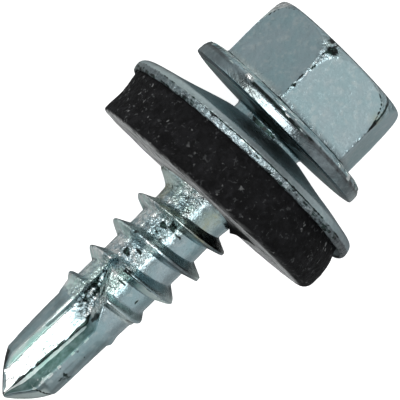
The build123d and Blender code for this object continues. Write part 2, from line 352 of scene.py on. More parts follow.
    # hammered and scraped surface: shallow waves on the flats, small turned ridges on the rim
    outer = smooth(rr, 3.0, 3.9)
    rim = smooth(rr, 5.1, 5.3)
    rr = rr + outer * 0.006 * fbm(p, 0.8, 3, 11) + outer * (1 - rim) * 0.004 * noise(p, 4.0, 12)
    rr = rr + rim * 0.010 * noise(np.stack([pp * 0.012, ss * 9.0, 0 * ss], -1), 1.0, 21)
    rr = rr + rim * 0.008 * fbm(p, 0.5, 2, 22)
    flange_top = smooth(ss, -1.30, -1.15) * (1 - smooth(ss, -0.86, -0.78)) * smooth(rr, 4.0, 4.2)
    ss = ss + flange_top * 0.050 * fbm(p, 2.6, 2, 31)
    # nicks thrown up along the flange's upper edge, one large one at the front: small faces that stand out to the rim's own width
    edge = smooth(ss, -0.99, -0.92) * (1 - smooth(ss, -0.66, -0.60)) * smooth(rr, 4.85, 5.05)
    spot = np.exp(-(turn_apart(pp, -29.0) / 2.9) ** 4 - ((ss + 0.78) / 0.17) ** 4)
    nicks = smooth(fbm(cyl(pp, 5.2, 1.1 * ss), 2.1, 2, 34), 0.10, 0.30) * (0.45 + 0.55 * bell(turn_apart(pp, 10.0), 0.0, 30.0))
    lift = np.clip(spot + nicks, 0, 1) * edge
    rr = rr + (5.44 - rr) * 0.85 * lift * smooth(rr, 4.95, 5.15)
    rr = rr - 0.075 * spot * edge * turn_apart(pp, -29.0) / 3.0
    # the nicks are painted bright, a painted highlight, and the painted shade under them is taken out; the large one is
    # tinted warm
    vals["shade"] = np.clip(vals["shade"] * (1 - lift), 0, 1)
    vals["bright"] = np.clip(vals["bright"] + 1.0 * lift, 0, 1)
    vals["warm"] = np.clip(vals["warm"] + 0.35 * spot * edge, 0, 1)
    vals["dark"] = np.clip(vals["dark"] * (1 - lift) + edge * smooth(-fbm(cyl(pp, 5.2, 1.1 * ss), 2.1, 2, 34), 0.0, 0.2) * 0.18, 0, 1)
    p = cyl(pp, rr, ss)
    index = shell.grid(p, vals)
    centre = shell.point((0.0, 0.0, -5.065), {"relief": 0.35, "gloss": 0.36})
    shell.fan(centre, index[0], flip=True)
    return index[-1], psi


# ------------------------------------------------------------------ the shank, thread and drill point
# the thread's shape where it stands at s: crest radius, half width of its flat, width of the flank
# towards the head, width of the flank towards the point, rounding of the crest
THREAD = np.array([
    (4.60, 1.80, 0.03, 0.40, 0.30, 0.03),
    (5.02, 1.95, 0.03, 0.40, 0.45, 0.03),
    (5.25, 2.40, 0.03, 0.24, 0.60, 0.03),
    (5.44, 2.74, 0.03, 0.24, 0.66, 0.03),
    (5.80, 2.66, 0.03, 0.36, 0.45, 0.03),
    (6.34, 2.63, 0.09, 0.37, 0.20, 0.04),
    (6.79, 2.62, 0.05, 0.38, 0.30, 0.03),
    (7.20, 2.58, 0.05, 0.38, 0.27, 0.03),
    (8.14, 2.64, 0.12, 0.35, 0.20, 0.05),
    (8.60, 2.60, 0.06, 0.38, 0.30, 0.03),
    (9.04, 2.56, 0.05, 0.40, 0.36, 0.03),
    (9.50, 2.54, 0.08, 0.46, 0.34, 0.08),
    (9.94, 2.52, 0.14, 0.52, 0.34, 0.26),
    (10.40, 2.44, 0.08, 0.36, 0.34, 0.12),
    (10.84, 2.42, 0.07, 0.34, 0.38, 0.12),
    (11.30, 2.28, 0.08, 0.36, 0.30, 0.08),
    (11.74, 2.12, 0.10, 0.42, 0.16, 0.06),
    (12.20, 2.14, 0.08, 0.32, 0.24, 0.05),
    (12.60, 2.17, 0.05, 0.28, 0.26, 0.05),
    (13.00, 2.02, 0.10, 0.26, 0.30, 0.05),
    (13.54, 1.92, 0.10, 0.40, 0.15, 0.05),
    (13.90, 1.80, 0.16, 0.20, 0.30, 0.05),
    (14.30, 1.70, 0.16, 0.20, 0.30, 0.05),
])
BODY = np.array([
    (0.0, 2.15), (4.70, 2.10), (4.95, 2.02), (5.20, 1.94), (5.60, 1.90), (6.0, 1.87), (6.5, 1.84), (12.60, 1.835), (14.00, 1.80),
    (14.60, 1.800), (16.20, 1.763), (17.10, 1.722), (17.30, 1.712), (17.37, 1.700),
    (17.43, 1.665), (17.52, 1.612), (17.62, 1.555), (17.82, 1.445), (18.02, 1.315), (18.22, 1.165), (18.43, 1.000),
    (18.63, 0.815), (18.83, 0.625), (19.04, 0.410), (19.24, 0.185), (19.29, 0.110),
])
TIP_S, SHOULDER_S = 19.29, 17.37


def body_radius(s):
    return np.interp(s, BODY[:, 0], BODY[:, 1])


def wobble(psi):
    """The rolled thread isn't a true helix: on the front right it sags towards the point, on the left it lifts."""
    return 0.075 * bell(turn_apart(psi, 28.0), 0.0, 42.0) - 0.045 * bell(turn_apart(psi, -92.0), 0.0, 26.0)


def thread_place(psi, s):
    """Distance from the nearest turn's crest towards the point, and where that crest stands."""
    shift = wobble(psi)
    k = np.round((s - 6.79 + PITCH * psi / 360.0 - 0.02 - shift) / PITCH)
    crest_s = 6.79 + PITCH * k - PITCH * psi / 360.0
    return s - crest_s - shift, crest_s


def outer_radius(psi, s):
    """Radius of the turned body with its thread, before the flutes are cut."""
    body = body_radius(s)
    d, crest_s = thread_place(psi, s)
    crest_r, flat, head_w, point_w, soft = (np.interp(crest_s, THREAD[:, 0], THREAD[:, c]) for c in range(1, 6))
    nick = fbm(cyl(psi, 2.5, crest_s), 1.5, 3, 41) * smooth(crest_r, 1.9, 2.3)
    crest_r = crest_r + 0.030 * nick
    h = np.maximum(crest_r - 1.80, 0.0)
    t = np.where(d < 0, (-d - flat) / head_w, (d - flat) / point_w)
    ridge = h * (1.0 - t)
    hollow = (1.0 - smooth(crest_s, 5.45, 5.9)) * (d > 0)
    ridge = np.where(t > 0, ridge * (1 - hollow) + h * np.clip(1.0 - t / 1.05, 0, 1) ** 1.6 * hollow, ridge)
    ridge = smin(ridge, h + 0.25 * soft, soft + 0.02)
    # the worn fourth turn trails a low step towards the point
    tail = bell(turn_apart(psi, -90.0), 0.0, 60.0) * bell(crest_s, 12.64, 0.5)
    early = bell(turn_apart(psi, -90.0), 0.0, 40.0) * bell(crest_s, 12.64, 0.3)
    ridge = np.maximum(ridge, tail * (0.24 - 0.20 * (d - 0.05)) * (d > 0) * (d < 1.3))
    ridge = np.maximum(ridge, early * 0.42 * smooth(d, -0.34, -0.18) * (1 - smooth(d, -0.05, 0.10)))
    live = smooth(h, 0.0, 0.05)
    ridge = smax(ridge, body - 1.80 - 0.06, 0.08)
    r = smax(body, 1.80 + ridge, 0.06) * live + body * (1.0 - live)
    # a burr runs beside the fourth turn on the right
    burr = bell(turn_apart(psi, 70.0), 0.0, 42.0) * bell(s + 0.5 * PITCH * turn_apart(psi, 90.0) / 360.0, 12.08, 0.14) * 0.11
    return np.where(s < SHOULDER_S, r + burr, body)


# flute section, in the plane square to the axis: x to the right, y towards the camera.
# A steep step goes down from the left edge to a broad floor, and a wall comes up from the valley.
EDGE_L = np.array([-1.10, 1.47])
BASE_0 = np.array([-0.90, 0.56])
BASE_1 = np.array([-0.90, 0.26])
VALLEY_0 = np.array([0.29, 0.44])
VALLEY_1 = np.array([-0.17, 0.15])
EDGE_R0 = np.array([0.895, 1.60])
EDGE_R1 = np.array([0.915, 1.46])
RUN_0, RUN_1 = 10.30, 13.70
# angle of the cutting lip, where the right-hand wall meets the point's flank
LIP = np.array([(17.25, 33.5), (17.60, 35.5), (17.95, 37.0), (18.2, 34.0), (18.43, 30.0), (18.63, 25.0), (18.83, 18.0), (19.04, 12.0), (19.29, 8.0)])


def unit(v):
    return v / np.maximum(np.linalg.norm(v, axis=-1, keepdims=True), 1e-9)


def keys_at(s, turn):
    """The flute's corners at each s, as (x, y): left edge, foot of the step, valley and right edge, with the
    angles of the two edges and of the place where the right edge comes to rest.
    Before the flute begins they are all one point of the surface."""
    g = np.clip((s - RUN_1) / (TIP_S - RUN_1), 0.0, 1.0)[..., None]
    f = np.clip((s - RUN_0) / (RUN_1 - RUN_0), -0.45, 1.0)[..., None]
    full_v = lerp(VALLEY_0, VALLEY_1, g)
    full_b = lerp(BASE_0, BASE_1, g)
    # towards the point the floor reaches further to the left, until it meets the edge
    full_b = full_b - np.stack([np.interp(s, [14.6, 15.4, 16.2, 18.2], [0.0, 0.05, 0.07, 0.07]), 0.0 * s], -1)
    v = EDGE_L + (full_v - EDGE_L) * np.where(f > 0.0, np.maximum(f, 0.0) ** 1.3, f)
    foot = EDGE_L + (full_b - EDGE_L) * np.maximum(f, 0.0) ** 0.8
    body = body_radius(s)
    limit = np.where(s > 16.0, body * 0.72, 99.0)
    v = v * np.minimum(1.0, limit / np.maximum(np.linalg.norm(v, axis=-1), 1e-9))[..., None]

    def hit(start, direction):
        p = start
        psi = np.degrees(np.arctan2(start[..., 0], start[..., 1]))
        for _ in range(6):
            r = outer_radius(psi + turn, s)
            b = (start * direction).sum(-1)
            c = (start ** 2).sum(-1) - r ** 2
            t = np.maximum(-b + np.sqrt(np.maximum(b * b - c, 0.0)), 0.0)
            p = start + direction * t[..., None]
            psi = np.degrees(np.arctan2(p[..., 0], p[..., 1]))
        return p, psi

    vr = np.linalg.norm(v, axis=-1)
    vpsi = np.degrees(np.arctan2(v[..., 0], v[..., 1]))
    surface = outer_radius(vpsi + turn, s)
    # the step, or where the point is too slim for it, the floor running straight out
    left, lpsi = hit(foot, unit(EDGE_L - lerp(BASE_0, BASE_1, g)))
    slim = np.linalg.norm(foot, axis=-1) >= surface * 0.985
    out, opsi = hit(v, unit(foot - v + (s[..., None] < RUN_0 + 0.05) * (EDGE_L - full_v)))
    slim = slim & (s > 15.0)
    # the bevel starts a few degrees before the edge
    back = (4.2 + np.interp(s, [14.7, 16.2, 17.4], [0.0, 2.0, 5.0])) * smooth(f[..., 0], 0.02, 0.10)
    at = np.radians(lpsi - back)
    left = np.stack([np.sin(at), np.cos(at)], -1) * outer_radius(lpsi - back + turn, s)[..., None]
    lpsi = lpsi - back
    left = np.where(slim[..., None], out, left)
    gap = np.linalg.norm(v - out, axis=-1, keepdims=True)
    foot = np.where(slim[..., None], out + (v - out) * np.minimum(0.6, 0.22 / np.maximum(gap, 0.05)), foot)
    lpsi = np.where(slim, opsi, lpsi)
    rgt, rpsi = hit(v, unit(lerp(EDGE_R0, EDGE_R1, g) - full_v))
    lip = smooth(s, 17.25, 17.75)
    rpsi = lerp(rpsi, np.interp(s, LIP[:, 0], LIP[:, 1]), lip)
    at = np.radians(rpsi)
    rgt = np.where(lip[..., None] > 0, np.stack([np.sin(at), np.cos(at)], -1) * outer_radius(rpsi + turn, s)[..., None], rgt)
    none = (vr >= surface) | (f[..., 0] <= 0.0)
    a = np.radians(vpsi)
    on = np.stack([np.sin(a), np.cos(a)], -1) * surface[..., None]
    left, foot, v, rgt = (np.where(none[..., None], on, q) for q in (left, foot, v, rgt))
    lpsi = np.where(none, vpsi, lpsi)
    rpsi = np.where(none, vpsi, rpsi)
    rest_psi = np.where(s >= RUN_1, rpsi, np.maximum(rpsi, 28.0))
    return left, foot, v, rgt, lpsi, rpsi, rest_psi


def spread(n, ends=0.5):
    """n inner fractions of a segment, closer together near both ends."""
    t = (np.arange(n) + 1.0) / (n + 1.0)
    return lerp(t, 0.5 - 0.5 * np.cos(np.pi * t), ends)


SEGMENTS = [("c", spread(11, 0.3)), ("a", spread(18, 0.8)), ("b", spread(15, 0.8)), ("g", spread(20, 0.5)), ("o", spread(56, 0.25))]


def half_columns():
    kinds, fractions = [], []
    for kind, inner in SEGMENTS:
        kinds.append(kind)
        fractions.append(0.0)
        kinds.extend([kind] * len(inner))
        fractions.extend(inner.tolist())
    return np.array(kinds), np.array(fractions)


def drift(s):
    """How far the real shank's centre line wanders to the right of the head's."""
    return np.interp(s, [0.0, 3.0, 5.0, 6.2, 8.3, 11.0, 13.5, 14.2, 16.5, 18.3, 19.0, 19.3], [0.0, 0.04, 0.14, 0.14, 0.14, 0.12, 0.075, 0.045, 0.045, 0.055, 0.03, 0.0])


def shank_block(base, skew, lo, hi):
    """One run of rows.  base is each row's place on the axis at psi 0; skew rows follow the helix and are held between lo and hi."""
    kinds, fractions = half_columns()
    half = len(kinds)
    psi_all, pts_all = [], []
    for side in (0, 1):
        turn = 180.0 * side
        s = np.repeat(base[:, None], half, 1).astype(float)
        frac = np.broadcast_to(fractions, s.shape)
        # a row's height depends on the angle and the angle of the flute's corners on the height
        for step in range(8 if skew else 1):
            left, foot, valley, rgt, lpsi, rpsi, rest = keys_at(s, turn)
            mid = 0.5 * (lpsi + rpsi)
            far_l = keys_at(s, turn + 180.0)[4] + 180.0
            eff = np.select(
                [kinds == "c", kinds == "a", kinds == "b", kinds == "g"],
                [lpsi, lerp(lpsi, mid, frac), lerp(mid, rpsi, frac), lerp(rpsi, rest, frac)],
                lerp(rest, far_l, frac),
            )
            if skew:
                s = np.clip(base[:, None] - PITCH * (eff + turn) / 360.0 + wobble(eff + turn), lo, hi)
        left, foot, valley, rgt, lpsi, rpsi, rest = keys_at(s, turn)
        far_l = keys_at(s, turn + 180.0)[4] + 180.0
        psi_out = np.where(kinds == "g", lerp(rpsi, rest, frac), lerp(rest, far_l, frac))
        r_out = outer_radius(psi_out + turn, s)
        xy = np.stack([np.sin(np.radians(psi_out)), np.cos(np.radians(psi_out))], -1) * r_out[..., None]
        for kind, start, end in (("a", foot, valley), ("b", valley, rgt)):
            xy = np.where((kinds == kind)[None, :, None], lerp(start, end, frac[..., None]), xy)
        # the step: a bevel that faces the front, then straight down to the floor
        lean = np.radians(14.0 + 20.0 * smooth(s, 13.7, 16.0))[..., None]
        across = np.concatenate([np.cos(lean), np.sin(lean)], -1)
        width = np.minimum(0.125, 0.9 * np.linalg.norm(foot - left, axis=-1, keepdims=True)) * smooth(np.linalg.norm(foot - left, axis=-1, keepdims=True), 0.12, 0.40)
        bevel = left + width * across
        first = np.clip(frac[..., None] / 0.40, 0, 1)
        second = np.clip((frac[..., None] - 0.40) / 0.60, 0, 1)
        step = left + (bevel - left) * first + (foot - bevel) * second
        xy = np.where((kinds == "c")[None, :, None], step, xy)
        t = math.radians(turn)
        x = xy[..., 0] * math.cos(t) + xy[..., 1] * math.sin(t)
        y = -xy[..., 0] * math.sin(t) + xy[..., 1] * math.cos(t)
        pts_all.append(np.stack([y, x, s], -1))
        psi_all.append(eff + turn)
    return np.concatenate(pts_all, 1), np.concatenate(psi_all, 1), np.tile(kinds, 2)


# dark patches and bright patches on the front of the shank: angle, place along it, half width in degrees, half height,
# depth (a depth above 0 is a dark patch, below 0 a bright patch, a painted highlight where the front light is
# reflected)
FRONT_PATCHES = [
    (-19.0, 7.51, 6.5, 0.18, 0.8), (-18.0, 8.07, 5.0, 0.16, 0.35), (6.0, 7.37, 12.0, 0.05, 0.8), (-29.0, 9.74, 8.0, 0.20, 0.8),
    (-17.0, 9.29, 8.0, 0.06, 0.7), (-3.0, 11.02, 11.0, 0.05, 0.8), (42.8, 11.17, 1.8, 0.16, 0.8), (-30.0, 6.08, 3.5, 0.27, -0.9),
    (-6.0, 7.05, 9.0, 0.20, -0.7), (-4.0, 8.75, 11.0, 0.26, -0.8), (4.0, 9.50, 13.0, 0.22, -0.7), (-6.0, 11.35, 13.0, 0.28, -0.9),
]


def front_patches(psi, s, p):
    """How much each point is inside a dark patch and inside a bright patch, which is a painted highlight; their
    outlines are uneven.
    """
    cut, shine = np.zeros_like(s), np.zeros_like(s)
    shake_a = 0.45 * fbm(p, 2.6, 2, 101)
    shake_b = 0.45 * fbm(p, 3.1, 2, 103)
    for angle, place, wide, high, depth in FRONT_PATCHES:
        a = turn_apart(psi, angle) / wide + shake_a
        b = (s - place) / high + shake_b
        inside = np.exp(-(a * a + b * b) ** 2)
        if depth > 0:
            cut = np.maximum(cut, depth * inside)
        else:
            shine = np.maximum(shine, -depth * inside)
    return cut, shine


def shank_rows(shell):
    kinds, fractions = half_columns()
    corner_cols = [k for k in range(len(kinds)) if fractions[k] == 0.0]
    half = len(kinds)
    per = np.array([-0.90, -0.76, -0.64, -0.565, -0.51, -0.46, -0.39, -0.31, -0.23, -0.16, -0.105, -0.06, -0.025,
                    0.0, 0.025, 0.06, 0.105, 0.16, 0.22, 0.285, 0.345, 0.395, 0.44, 0.50, 0.60, 0.75])
    neck = np.array([1.5, 2.4, 3.3, 4.1, 4.5])
    lo, hi = 4.5, 14.3
    base = np.concatenate([6.79 + PITCH * k + per for k in range(-2, 6)])
    base = base[(base > lo - 0.45) & (base < hi + 1.75)]
    # whole turns only, so that the seam's rows meet
    drill = np.concatenate([np.linspace(14.3, 17.22, 34), [17.27, 17.31, 17.34, 17.37, 17.40, 17.43, 17.47]])
    cone = np.concatenate([np.linspace(17.52, 19.0, 20), [19.06, 19.12, 19.17, 19.21, 19.25, TIP_S]])

    def finish(p, psi, kind):
        """Picks the columns near the flutes' corners, where the rows are later smoothed to round the edges and valleys,
        and returns a copy of the points.
        """
        cols = p.shape[1]
        window = np.zeros(cols, bool)
        for side in (0, half):
            for c in corner_cols:
                for w in range(-3, 4):
                    window[(c + side + w) % cols] = True
        q = p.copy()
        return q, window

    blocks = []
    for rows, skew in ((neck, False), (base, True), (np.concatenate([drill, cone]), False)):
        p, psi, kind = shank_block(rows, skew, lo, hi)
        p, window = finish(p, psi, kind)
        blocks.append((p, psi, kind, skew, rows, window))

    per_turn = len(per)
    indices = []
    for p, psi, kind, skew, rows, window in blocks:
        n_rows, n_cols = p.shape[:2]
        if skew:
            # add the closing column: column 0 one turn on
            shifted = np.empty((n_rows, 1, 3))
            src = np.clip(np.arange(n_rows) - per_turn, 0, n_rows - 1)
            shifted[:, 0] = p[src, 0]
            ext = np.concatenate([p, shifted], 1)
            prev = np.empty((n_rows, 1, 3))
            src2 = np.clip(np.arange(n_rows) + per_turn, 0, n_rows - 1)
            prev[:, 0] = p[src2, -1]
            full = np.concatenate([prev, p, shifted], 1)
        else:
            full = np.concatenate([p[:, -1:], p, p[:, :1]], 1)
        for _ in range(4):
            mid = 0.5 * full[:, 1:-1] + 0.25 * (full[:, :-2] + full[:, 2:])
            inner = np.where(window[None, :, None], mid, full[:, 1:-1])
            if skew:
                full = np.concatenate([inner[src2, -1:], inner, inner[src, :1]], 1)
            else:
                full = np.concatenate([inner[:, -1:], inner, inner[:, :1]], 1)
        p = full[:, 1:-1]
        if skew:
            p[..., 2] = np.clip(p[..., 2], lo, hi)
        # small unevenness
        r = np.hypot(p[..., 0], p[..., 1])
        flute = np.broadcast_to((kind == "a") | (kind == "b") | (kind == "c"), r.shape) & (p[..., 2] > RUN_0 - 0.2)
        amp = np.where(flute, 0.008, 0.010) * smooth(p[..., 2], 4.6, 5.2) * (1 - 0.8 * smooth(p[..., 2], 18.6, 19.2))
        front = bell(turn_apart(psi, -18.0), 0.0, 34.0) + 0.5 * bell(turn_apart(psi, 150.0), 0.0, 40.0)
        amp = amp + 0.026 * front * (1 - smooth(p[..., 2], 12.6, 13.6)) * smooth(p[..., 2], 4.9, 5.4)
        bump = amp * fbm(p, (1.9, 1.9, 2.6), 2, 61)
        scale = 1.0 + bump / np.maximum(r, 0.3)
        p[..., 0] *= scale
        p[..., 1] *= scale
        p[..., 1] += drift(p[..., 2])
        sv = p[..., 2]
        kindv = np.broadcast_to(kind, r.shape)
        fr = np.broadcast_to(np.tile(fractions, 2), r.shape)
        flute_amount = flute.astype(float) * smooth(sv, RUN_0, RUN_0 + 0.3)
        wall_a = (kindv == "a") * flute_amount
        step = (kindv == "c") * flute_amount
        wall_b = (kindv == "b") * flute_amount
        done = smooth(sv + 0.5 * fbm(p, 1.8, 2, 90), 13.35, 14.0)
        crest = smooth(r, 2.2, 2.5)
        grain_s = fbm(np.stack([p[..., 0] * 4.5, p[..., 1] * 4.5, sv * 0.5], -1), 1.0, 2, 99)
        jag = fbm(np.stack([0 * sv, 0 * sv, sv], -1), 3.0, 3, 91)
        jag2 = fbm(np.stack([0 * sv, 0 * sv, sv], -1), 2.2, 3, 94)
        thread_zone = 1.0 - smooth(sv, 13.0, 13.8)
        around = turn_apart(psi, 0.0)
        outside = (kindv == "o") | (kindv == "g") | ~flute
        # by the side of the shank: mottled green-grey on the left, dark blotches, a bright strip at the front, smooth
        # on the right. The bright strip is a painted highlight, the blotches beside it painted shade and sparkle, and
        # the left is painted lighter.
        zone_g = smooth(around, -130.0, -95.0) * (1 - smooth(around, -48.0, -36.0)) + 0.7 * bell(turn_apart(psi, 170.0), 0.0, 40.0)
        zone_d = smooth(around, -50.0, -38.0) * (1 - smooth(around, -13.0, -3.0)) + 0.7 * bell(turn_apart(psi, 128.0), 0.0, 22.0)
        zone_b = smooth(around, -14.0, -7.0) * (1 - smooth(around, 0.0, 7.0))
        blot = fbm(p, (2.3, 2.3, 2.3), 2, 92)
        blot2 = fbm(p, (1.6, 1.6, 3.2), 2, 98)
        dist, crest_s = thread_place(psi, sv)
        ridge_h = np.clip(outer_radius(psi, sv) - body_radius(sv), 0, 1) * (crest_s > 4.8) * (crest_s < 13.4) * outside
        head_flank = smooth(ridge_h, 0.03, 0.12) * (dist < -0.03)
        point_flank = smooth(ridge_h, 0.03, 0.12) * (dist > 0.06)
        right_side = smooth(around, 10.0, 30.0) * (1 - smooth(around, 120.0, 150.0))
        first_turn = 1 - smooth(sv, 6.9, 7.5)
        # run_out and valley mark painted shade in the flute's run-out and valley, under_crest painted shade under the
        # crests, ground, lip_line and left_flank painted shade lines on the point, and margin a darker strip on the
        # step near the tip; early_white, left_edge, right_edge and scoop_side mark painted highlights
        run_out = wall_a * (1 - done) * smooth(sv, 10.3, 10.6)
        run_mix = 1.4 * fbm(p, (5.0, 5.0, 4.2), 2, 93)
        run_b = wall_b * (1 - smooth(sv, 13.2, 13.6)) * smooth(sv, 10.6, 10.9)
        begun = smooth(sv + 0.45 * fbm(p, 2.2, 2, 96), 14.1, 14.9)
        dash = smooth(fbm(p, (2.2, 2.2, 6.5), 2, 104), 0.12, 0.36) * zone_b * thread_zone * outside
        early_white = smooth(p[..., 1] - 0.10 * (sv - 10.4), -0.62, -0.42) * (1 - smooth(sv + 0.3 * run_mix, 11.8, 12.3))
        pit = bell(p[..., 1], 0.46, 0.12) * bell(sv, 13.22, 0.42) * flute_amount
        valley = (wall_a * smooth(fr, 0.885 - 0.06 * jag, 0.935 - 0.04 * jag) + wall_b * (1 - smooth(fr, 0.02 + 0.02 * jag2, 0.07 + 0.06 * jag2))) * smooth(sv, 13.2, 13.9) * (0.75 + 0.6 * jag2)
        left_edge = np.maximum(step * (1 - smooth(fr, 0.46, 0.62)), (kindv == "o") * smooth(fr, 0.984, 0.995) * smooth(sv, RUN_0 - 0.3, RUN_0 + 0.1))
        right_edge = np.maximum(wall_b * smooth(fr, 0.84, 1.0), (kindv == "g") + (kindv == "o") * (1 - smooth(fr, 0.012, 0.03))) * smooth(sv, 13.6, 14.2)
        lip = smooth(sv, 17.45, 17.65) * outside
        margin = step * smooth(sv, 18.02, 18.2)
        olive = smooth(fbm(p, 0.7, 2, 95), -0.5, 0.15) * (1 - smooth(sv, 6.4, 7.6)) * smooth(sv, 4.8, 5.0)
        land = outside * smooth(sv, 13.3, 13.9)
        land_l = land * (bell(turn_apart(psi, -68.0), 0.0, 34.0) + bell(turn_apart(psi, 112.0), 0.0, 34.0))
        land_r = land * (bell(turn_apart(psi, 55.0), 0.0, 34.0) + bell(turn_apart(psi, -125.0), 0.0, 34.0))
        marks = smooth(fbm(p, (3.0, 3.0, 3.0), 2, 97), 0.25, 0.45) * land * (1 - smooth(sv, 16.6, 17.2)) * smooth(around, 20.0, 34.0) * (1 - smooth(around, 70.0, 90.0))
        later = smooth(sv, 6.2, 7.0)
        scoop_side = smooth(sv + 0.15 * jag, 10.45, 10.70) * (1 - smooth(sv + 0.2 * jag2, 11.75, 12.05)) * outside * smooth(around, -30.0, -20.0) * (1 - smooth(around, 2.0, 8.0)) * (1 - 0.8 * dash)
        third = smooth(crest_s, 9.65, 9.85) * (1 - smooth(crest_s, 10.55, 10.75))
        under_crest = smooth(ridge_h, 0.30, 0.55) * smooth(dist, -0.16, -0.08) * smooth(around, 14.0, 26.0) * (1 - smooth(around, 120.0, 140.0)) * (1 - smooth(sv, 10.25, 10.6)) * (1 - 0.6 * third)
        left_side = smooth(around, -140.0, -110.0) * (1 - smooth(around, -60.0, -35.0))
        far_right = bell(around, 86.0, 22.0) * smooth(sv, 7.4, 7.9)
        cut, shine = front_patches(psi, sv, p)
        to_left = 1 - smooth(p[..., 1], -0.62, -0.30)
        # dark and light lines of the drill point, painted as shade and highlight: the ground lip, the dark flank on the
        # left
        ground = bell(sv - 17.45 - (90.0 - around) * 0.0093, 0.0, 0.055) * smooth(around, 34.0, 42.0) * (1 - smooth(around, 88.0, 100.0)) * outside
        lip_line = lip * (kindv == "o") * (1 - smooth(fr, 0.018, 0.045)) * smooth(sv, 17.85, 18.0)
        left_flank = smooth(sv, 17.38, 17.52) * outside * smooth(around, -108.0, -90.0) * (1 - smooth(around, -70.0, -58.0))
        # painted shade with real dark marks: the flute's valley and run-out, the blotches round the shank, the
        # head-side flanks of the first turn and the lines of the point are painted shade; the front patches, marks and
        # pit are dark marks
        dark = (valley * (1.1 - 0.2 * smooth(sv, 17.4, 17.8)) + run_out * np.minimum(0.55, 0.26 + 0.04 * smooth(sv, 11.9, 12.4) + 0.50 * run_mix + 0.13 * to_left - 0.42 * early_white) + run_b * (0.10 + 0.4 * run_mix) * smooth(sv, 11.5, 12.1) - run_out * (0.16 * bell(sv, 13.15, 0.30) - 0.16 * bell(sv, 12.35, 0.32) * (1 - smooth(p[..., 1], -0.35, -0.15))) + 0.75 * pit + 0.06 * dash
                + 0.22 * wall_a * done * (1 - begun)
                + thread_zone * outside * np.minimum(0.43, zone_d * (0.10 + 0.04 * later + 0.35 * blot) + zone_b * (0.05 + 0.11 * later + (0.25 + 0.30 * later) * blot2) + zone_g * (0.20 - 0.18 * later + 0.25 * blot))
                + 0.42 * marks + head_flank * (0.42 * first_turn * right_side + 0.05) * smooth(around, -60.0, -10.0)
                + 0.75 * ground + 0.80 * lip_line + 0.80 * left_flank + 1.0 * cut * thread_zone)
        # painted highlights: the flute's left wall and edges, stripes on the right wall, the step, the strip at the
        # front and its flanks, the scoops and the bright patches
        bright = (wall_a * done * (0.25 + 0.75 * begun) * (1 - smooth(valley, 0.0, 0.3)) + run_b * (0.30 - 0.45 * run_mix + 0.35 * (1 - smooth(sv, 11.9, 12.4))) + 0.5 * left_edge * (1 - smooth(sv, 14.2, 15.0)) * smooth(sv, 10.2, 10.6)
                  + right_edge * (0.24 + 0.50 * smooth(jag, -0.05, 0.30)) * (1 - smooth(sv, 17.9, 18.1)) + 1.2 * wall_b * bell(fr, 0.18, 0.095) * smooth(sv, 13.6, 14.2) + 0.27 * wall_b * smooth(fr, 0.5, 0.7) * smooth(sv, 16.2, 17.0) * (1 - smooth(sv, 18.0, 18.3))
                  + 0.55 * bell(p[..., 1], 0.14, 0.13) * bell(sv, 12.75, 0.35) * flute_amount + run_out * (0.25 - 0.4 * run_mix + 0.50 * early_white - 0.06 * to_left)
                  + thread_zone * outside * (1 - head_flank) * (zone_b * (0.28 - 0.20 * later - 0.4 * blot2) + zone_d * (0.36 - 0.12 * later - 0.3 * blot) + (0.22 + 0.20 * later) * zone_g) + 0.55 * head_flank * zone_b * (0.45 + 0.55 * later)
                  + 0.95 * step * smooth(fr, 0.15, 0.35) * smooth(sv, 15.0, 15.6) * (1 - smooth(sv, 17.9, 18.1)) + 0.55 * scoop_side + 0.30 * shine * thread_zone + 0.42 * point_flank * zone_b * (1 - third) + 0.40 * third * point_flank * smooth(around, -28.0, -12.0) * (1 - smooth(around, 18.0, 30.0)))
        bright = bright * (1 - 0.8 * np.clip(cut, 0, 1))
        # pale is painted light: the flute's left edge, the crests and flanks turned away from the lamps, the lip and
        # the burr, and the strip at the front
        pale = (0.75 * left_edge * (1 - 0.35 * smooth(sv, 14.6, 15.4)) * (1 - smooth(sv, 17.6, 18.0)) + 0.45 * crest * left_side * (1 - 0.8 * head_flank) * thread_zone + 0.85 * point_flank * left_side * thread_zone
                + 0.85 * head_flank * far_right * smooth(ridge_h, 0.20, 0.50) + 0.55 * crest * far_right * (1 - 0.4 * head_flank) + 1.0 * point_flank * right_side * third
                + 0.75 * lip * (kindv == "o") * smooth(fr, 0.08, 0.14) * smooth(around, 20.0, 40.0) * (1 - smooth(around, 100.0, 120.0))
                + 1.0 * bell(sv + 0.5 * PITCH * turn_apart(psi, 90.0) / 360.0, 12.12, 0.16) * bell(turn_apart(psi, 50.0), 0.0, 48.0)
                + 0.25 * thread_zone * outside * zone_b * (1 - head_flank))
